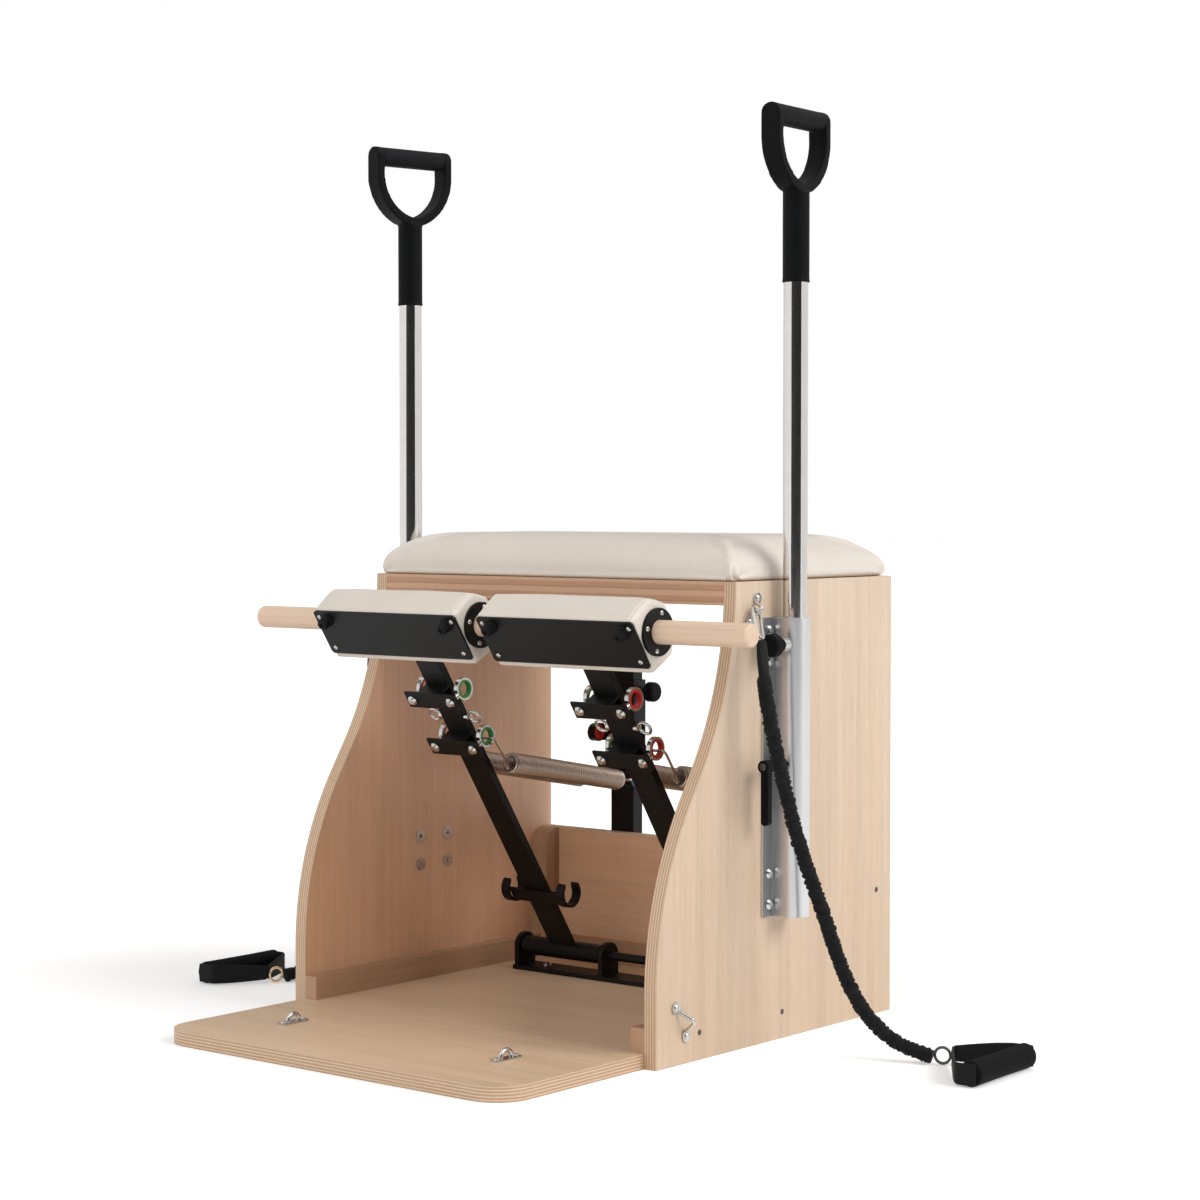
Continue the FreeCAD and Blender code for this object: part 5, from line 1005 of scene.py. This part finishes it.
def pad_outline(radius, per_side=14, per_corner=8):
    """Rounded six-sided pad section: (s, t), how much the cover swells there, and the side's number."""
    corners = [Vector((a, b, 0.0)) for a, b in ((599.0, 36.0), (602.0, -6.0), (579.0, -29.0), (541.0, -29.0),
                                                (518.0, -6.0), (521.0, 36.0))]
    radii = [3.0, radius, radius, radius, radius, 3.0]
    cuts = []
    for i in range(6):
        here = corners[i]
        before = (corners[i - 1] - here).normalized()
        after = (corners[(i + 1) % 6] - here).normalized()
        half = before.angle(after) / 2.0
        reach = radii[i] / math.tan(half)
        centre = here + (before + after).normalized() * (radii[i] / math.sin(half))
        cuts.append((here + before * reach, here + after * reach, centre, radii[i]))
    points = []
    for i in range(6):
        first, second, centre, r = cuts[i]
        a0 = math.atan2(first.y - centre.y, first.x - centre.x)
        a1 = math.atan2(second.y - centre.y, second.x - centre.x)
        while a1 - a0 > math.pi:
            a1 -= TAU
        while a1 - a0 < -math.pi:
            a1 += TAU
        for k in range(per_corner):
            a = a0 + (a1 - a0) * k / per_corner
            points.append((centre.x + r * math.cos(a), centre.y + r * math.sin(a), 0.0, i))
        nxt = cuts[(i + 1) % 6][0]
        for k in range(per_side):
            f = k / per_side
            p = second + (nxt - second) * f
            points.append((p.x, p.y, math.sin(math.pi * f), i))
    return points


def build_pad(label, side):
    """Upholstered pad: wrapped cover, sewn end panels, a bore for the dowel."""
    body = label + "_pedal"
    outline = pad_outline(9.0)
    count = len(outline)
    middle = Vector((DOWEL_REACH, 4.0, 0.0))
    stations = (0.0, 0.5, 1.4, 2.6, 4.0, 5.2, 5.7, 6.0, 6.3, 6.8, 8.0, 10.0, 13.0, 17.0, 22.0, 28.0, 36.0,
                46.0, 58.0, 72.0, 88.0, 105.0, PAD_HALF)
    xs = [-PAD_HALF + d for d in stations] + [PAD_HALF - d for d in reversed(stations[:-1])]
    verts = []
    for x in xs:
        d = PAD_HALF - abs(x)
        curl = PAD_SEAM - math.sqrt(max(0.0, PAD_SEAM ** 2 - max(0.0, PAD_SEAM - d) ** 2))
        groove = 1.15 * math.exp(-((d - PAD_SEAM) / 0.75) ** 2)
        fill = min(1.0, d / 30.0) ** 0.6
        for s, t, swell, edge in outline:
            outward = (Vector((s, t, 0.0)) - middle).normalized()
            front = edge == 5 or t > 30.0
            move = -groove - (0.0 if front and d > 3.0 else curl)
            if not front:
                move += 2.6 * swell * fill
                move += 0.7 * fill * noise.noise(Vector((s * 0.03, t * 0.03, x * 0.022 + 7.0 * side)))
                if d > PAD_SEAM:
                    fade = math.exp(-(d - PAD_SEAM) / 9.0)
                    move += 0.8 * fade * noise.noise(Vector((s * 0.16, t * 0.16, x * 0.02 + side)))
                if t > 14.0:
                    pull = 0.5 + 0.5 * math.sin(x * 0.52 + 2.0 * math.sin(x * 0.13))
                    move -= 0.9 * (t - 14.0) / 22.0 * pull
            verts.append(pedal_point(side, x, s + outward.x * move, t + outward.y * move) * MM)
    rows = len(xs)
    # End panels run in to the dowel's bore.
    bore = []
    for s, t, _, _ in outline:
        a = math.atan2(t - DOWEL_AHEAD, s - DOWEL_REACH)
        bore.append((DOWEL_REACH + BORE_RADIUS * math.cos(a), DOWEL_AHEAD + BORE_RADIUS * math.sin(a)))
    for side_sign, order in ((1.0, (0.12, 0.3, 0.55, 0.8, 1.0)), (-1.0, (1.0, 0.8, 0.55, 0.3, 0.12))):
        edge_row = verts[(rows - 1) * count:rows * count] if side_sign > 0 else verts[0:count]
        for f in order:
            puff = 0.5 * math.sin(math.pi * min(1.0, f * 1.1))
            for j in range(count):
                inner = pedal_point(side, side_sign * PAD_HALF, bore[j][0], bore[j][1]) * MM
                spot = edge_row[j].lerp(inner, f)
                verts.append(spot + Vector((side_sign * puff * MM * 0.6, 0.0, 0.0)))
    faces = ring_faces(len(verts) // count, count, True)
    obj = add_mesh("pedal_pad_cover_" + label, verts, faces, pad_vinyl)
    subdivided(obj)
    settle(obj, body, "pad_vinyl", "pedal_pad_" + label)

    # Screws of the plate and of the end flanges.
    parts = []
    for sign in (-1.0, 1.0):
        for x, s in ((112.0, 539.5), (115.0, 588.0)):
            centre = pedal_point(side, sign * x, s, PLATE_FACE) * MM
            parts.append(lambda base, centre=centre: button_data(centre, PEDAL_AHEAD, 3.3, 1.9, 1.4, base))
    for sign in (-1.0, 1.0):
        for a in (45.0, 135.0, 225.0, 315.0):
            s = DOWEL_REACH + 23.0 * math.cos(math.radians(a))
            t = DOWEL_AHEAD + 23.0 * math.sin(math.radians(a))
            centre = pedal_point(side, sign * FLANGE_FACE, s, t) * MM
            parts.append(lambda base, centre=centre, sign=sign: button_data(
                centre, (sign, 0.0, 0.0), 3.2, 1.9, 1.4, base))
    screws = combined("pedal_screws_" + label, parts, zinc)
    settle(screws, body, "zinc_steel")

    # Raised rim of each rubber bumper and its screw.
    parts = []
    for x in (-104.0, 104.0):
        centre = pedal_point(side, x, 583.0, PLATE_FACE) * MM
        parts.append(lambda base, centre=centre: lathe_data(
            centre, PEDAL_AHEAD, [(0.0, 9.4), (1.2, 9.4), (1.9, 8.9), (2.3, 8.0), (11.2, 7.15), (12.2, 6.6),
                                  (12.5, 5.6), (12.5, 3.2), (10.4, 2.9), (10.3, 0.6)], 32, base))
    bumpers = combined("bumper_caps_" + label, parts, bumper_rubber, 40.0)
    settle(bumpers, body, "bumper_rubber", "pedal_bumpers_" + label)


for pad_label, pad_side in SIDES:
    build_pad(pad_label, pad_side)

# ---------------------------------------------------------------- springs
SPRING_FRONT = (84.0, 322.0)
SPRING_REAR = (326.0, 279.0)
SPRING_TURNS = 61.5
SPRING_WIRE = 1.82
SPRING_RADIUS = 12.5
HOOK_WIRE = 1.7
EYE_OFFSET = 33.0
CARRIAGE_EYE_Y = 357.2
CARRIAGE_EYE_HEIGHTS = (278.0, 340.0)


def build_spring(label, side, tag, front_x, rear_x):
    """Close-wound coil in two lengths, a front one and a rear one, with hooked ends that follow the pedal and
    the carriage.
    """
    front = Vector((side * front_x, *SPRING_FRONT))
    rear = Vector((side * rear_x, *SPRING_REAR))
    axis = (rear - front).normalized()
    length = (rear - front).length
    u = axis.cross(Vector((1, 0, 0))).normalized()
    v = axis.cross(u)
    total = int(SPRING_TURNS * 22)
    points = []
    for i in range(total + 1):
        f = i / total
        a = TAU * SPRING_TURNS * f
        edge = min(f, 1.0 - f) * SPRING_TURNS
        r = SPRING_RADIUS - 4.6 * max(0.0, 1.0 - edge / 1.3) ** 1.5
        points.append((front + axis * (length * f) + u * (r * math.cos(a)) + v * (r * math.sin(a))) * MM)
    half = total // 2
    name = "spring_" + tag + "_" + label
    ahead = add_tube(name + "_front", points[:half + 1], SPRING_WIRE * MM, 8, spring_wire)
    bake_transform(ahead)
    behind = add_tube(name + "_rear", points[half:], SPRING_WIRE * MM, 8, spring_wire)
    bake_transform(behind)
    for piece in (ahead, behind):
        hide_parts("springs_" + label)

    # Hooked ends: from the coil's middle to the eye, through it and back.
    away = 1.0 if front_x > PEDAL_X else -1.0
    eye = pedal_point(side, side * away * EYE_OFFSET, 371.0, -4.0)
    back_eye = Vector((side * rear_x, CARRIAGE_EYE_Y, CARRIAGE_EYE_HEIGHTS[0]))
    for end, inward, centre, body, part in ((front, axis, eye, label + "_pedal", "front"),
                                            (rear, -axis, back_eye, label + "_carriage", "rear")):
        toward = (end - centre).normalized()
        target = centre + toward * 4.8
        beside = Vector((side * away, 0.0, 0.0))
        gap = (end - centre).length
        route = [end + inward * 2.0 + u * 7.0, end - inward * 2.0 + u * 4.0, end - inward * 4.0,
                 target + toward * min(14.0, gap * 0.55) + beside * 8.6,
                 target + beside * 11.0 + toward * 4.0, target + beside * 9.5 - toward * 1.5,
                 target, target - beside * 9.0 - toward * 0.5, target - beside * 10.5 + toward * 3.0]
        line = spline_points(name + "_hook", [tuple(p) for p in route], 10)
        hook = add_tube(name + "_hook_" + part, line, HOOK_WIRE * MM, 12, spring_wire)
        settle(hook, body, "spring_steel")


for spring_label, spring_side in SIDES:
    for spring_tag, sign in (("inner", -1.0), ("outer", 1.0)):
        build_spring(spring_label, spring_side, spring_tag, PEDAL_X + sign * EYE_OFFSET,
                     CARRIAGE_X + sign * EYE_OFFSET)


# ---------------------------------------------------------------- carriage liners
def build_liners(label, side):
    parts = []
    for x in (CARRIAGE_X - EYE_OFFSET, CARRIAGE_X + EYE_OFFSET):
        for z in CARRIAGE_EYE_HEIGHTS:
            centre = Vector((side * x, CARRIAGE_EYE_Y, z)) * MM

            def made(base, centre=centre):
                profile = [(-6.9, 8.1), (-6.9, 10.6), (-6.2, 10.9), (-6.05, 9.45), (6.05, 9.45), (6.2, 10.9),
                           (6.9, 10.6), (6.9, 8.1)]
                verts, _ = lathe_data(centre, (1.0, 0.0, 0.0), profile, 32, base)
                return verts, ring_faces(len(profile), 32, True, base)

            parts.append(made)
    obj = combined("carriage_liners_" + label, parts, carriage_liner, 40.0)
    settle(obj, label + "_carriage", "liner_plastic")


for liner_label, liner_side in SIDES:
    build_liners(liner_label, liner_side)

# ---------------------------------------------------------------- D handles and levers
POLE_X = 323.0
POLE_Y = 125.0
HANDLE_FOOT = 935.0
BAR_HEIGHT = 1135.0
BAR_HALF = 49.4
LEVER_FACE = 58.2
LEVER_HEIGHT = 345.0


def build_handle(label, side, turn):
    body = label + "_pole"
    foot = Vector((side * POLE_X, POLE_Y, HANDLE_FOOT))
    core = lathe_data((foot - UP * 0.1) * MM, UP, [(0.0, 15.8), (100.0, 15.8)], 48)
    shell = rounded_copy("d_handle_shell_" + label, "d_handle_" + label, black_plastic, 1.15, 9, core)
    settle(shell, body, "black_plastic", "d_handle_" + label)
    # Grip sleeve on the bar, with fine ribs and a rolled lip at both ends.
    a = math.radians(turn)
    along = Vector((-math.sin(a), math.cos(a), 0.0))
    centre = Vector((side * POLE_X, POLE_Y, BAR_HEIGHT))
    profile = [(-BAR_HALF, 11.6), (-BAR_HALF, 12.5), (-BAR_HALF + 0.5, 12.9), (-BAR_HALF + 2.6, 12.9)]
    rim = [(-z, radius) for z, radius in reversed(profile)]
    for i in range(60):
        z = -BAR_HALF + 3.2 + (2.0 * BAR_HALF - 6.4) * (i + 0.5) / 60.0
        profile.append((z, 12.8 + 0.12 * (1 if i % 2 else -1)))
    profile += rim
    verts, faces = lathe_data(centre * MM, along, profile, 40)
    grip = add_mesh("d_handle_grip_" + label, verts, faces, grip_rubber, 60.0)
    settle(grip, body, "black_plastic")
    # Lip where the socket ends on the pole.
    lip = combined("d_handle_lip_" + label, [lambda base: lathe_data(
        foot * MM, UP,
        [(0.0, 15.2), (0.0, 16.3), (0.6, 16.8), (2.6, 16.9), (4.2, 16.5), (4.8, 16.0)], 48, base)],
        black_plastic, 40.0)
    settle(lip, body, "black_plastic")


build_handle("right", 1.0, 4.0)
build_handle("left", -1.0, -11.0)

for lever_label, lever_side in SIDES:
    lever = rounded_copy("clamp_lever_shell_" + lever_label, "clamp_lever_" + lever_label, black_plastic,
                         0.6, 5)
    settle(lever, lever_label + "_lever", "black_plastic", "clamp_lever_" + lever_label)
    cap_screw = combined("clamp_lever_screw_" + lever_label, [lambda base: button_data(
        Vector((lever_side * POLE_X, LEVER_FACE, LEVER_HEIGHT)) * MM, (0.0, -1.0, 0.0), 4.6, 1.6, 2.0, base)],
        dark_screw)
    settle(cap_screw, lever_label + "_lever", "black_plastic")


# ---------------------------------------------------------------- stage and light
FLOOR_HALF_M = 30.0
CARD_DISTANCE_M = 7.0


def seen_directly(tree):
    """One for rays from the camera, off shiny things and through clear ones; nought for other light."""
    rays = tree.nodes.new("ShaderNodeLightPath")
    total = rays.outputs["Is Camera Ray"]
    for kind in ("Is Glossy Ray", "Is Transmission Ray"):
        added = tree.nodes.new("ShaderNodeMath")
        added.operation = "ADD"
        added.use_clamp = True
        tree.links.new(total, added.inputs[0])
        tree.links.new(rays.outputs[kind], added.inputs[1])
        total = added.outputs[0]
    return total


def build_stage():
    s = Shader("floor_paper", roughness=0.9, specular=0.1)
    speck = s.noise(240.0, 3.0, 0.6)
    s.finish(s.ramp(speck, ((0.3, grey(0.905)), (0.7, grey(0.925)))))
    s.bsdf.inputs["Emission Color"].default_value = WHITE + (1.0,)
    s.link(s.math("MULTIPLY", seen_directly(s.tree), 0.30), s.bsdf.inputs["Emission Strength"])
    size = FLOOR_HALF_M
    floor = add_mesh("floor", [(-size, -size, 0), (size, -size, 0), (size, size, 0), (-size, size, 0)],
                     [(0, 1, 2, 3)], s.material)

    world = bpy.data.worlds.new("studio")
    scene.world = world
    world.use_nodes = True
    tree = world.node_tree
    tree.nodes.clear()
    out = tree.nodes.new("ShaderNodeOutputWorld")
    light = tree.nodes.new("ShaderNodeBackground")
    light.inputs["Color"].default_value = WARM_WHITE
    light.inputs["Strength"].default_value = 0.47
    white = tree.nodes.new("ShaderNodeBackground")
    white.inputs["Color"].default_value = WHITE + (1.0,)
    white.inputs["Strength"].default_value = 1.0
    mixer = tree.nodes.new("ShaderNodeMixShader")
    tree.links.new(seen_directly(tree), mixer.inputs["Fac"])
    tree.links.new(light.outputs[0], mixer.inputs[1])
    tree.links.new(white.outputs[0], mixer.inputs[2])
    tree.links.new(mixer.outputs[0], out.inputs["Surface"])

    for name, direction, strength, angle in (("key", (1.0, 0.30, 0.78), 1.95, 40.0),
                                             ("fill", (0.0, -1.0, 0.45), 1.15, 60.0)):
        data = bpy.data.lights.new(name, "SUN")
        data.energy = strength
        data.angle = math.radians(angle)
        lamp = bpy.data.objects.new(name, data)
        lamp.rotation_euler = Vector(direction).to_track_quat("Z", "Y").to_euler()
        scene.collection.objects.link(lamp)

    # Cards seen only in reflections: a dark one behind the camera, paler ones at its sides, one opposite.
    ahead = Vector((EYE_POINT[0], EYE_POINT[1], 0.0)).normalized()
    for name, turn, half_angle, glow in (("dark_flag", 2.0, 47.0, 0.02), ("grey_flag", -98.0, 52.0, 0.95),
                                         ("pale_flag", 98.0, 44.0, 0.86), ("rear_flag", 178.0, 24.0, 0.20)):
        flag = Shader(name, roughness=0.9, specular=0.0)
        flag.finish(flag.ramp(flag.noise(3.0, 2.0), ((0.3, grey(0.010)), (0.7, grey(0.016)))))
        flag.bsdf.inputs["Emission Color"].default_value = WARM_WHITE
        flag.bsdf.inputs["Emission Strength"].default_value = glow
        toward = Matrix.Rotation(math.radians(turn), 3, "Z") @ ahead
        wide = Vector((-toward.y, toward.x, 0.0))
        reach = CARD_DISTANCE_M * math.tan(math.radians(half_angle))
        corners = []
        for a, b in ((-reach, -0.5), (reach, -0.5), (reach, 6.0), (-reach, 6.0)):
            corners.append(toward * CARD_DISTANCE_M + wide * a + UP * b)
        card = add_mesh(name, corners, [(0, 1, 2, 3)], flag.material)
        card.visible_camera = False
        card.visible_diffuse = False
        card.visible_shadow = False
    scene.view_settings.view_transform = "Standard"


build_stage()
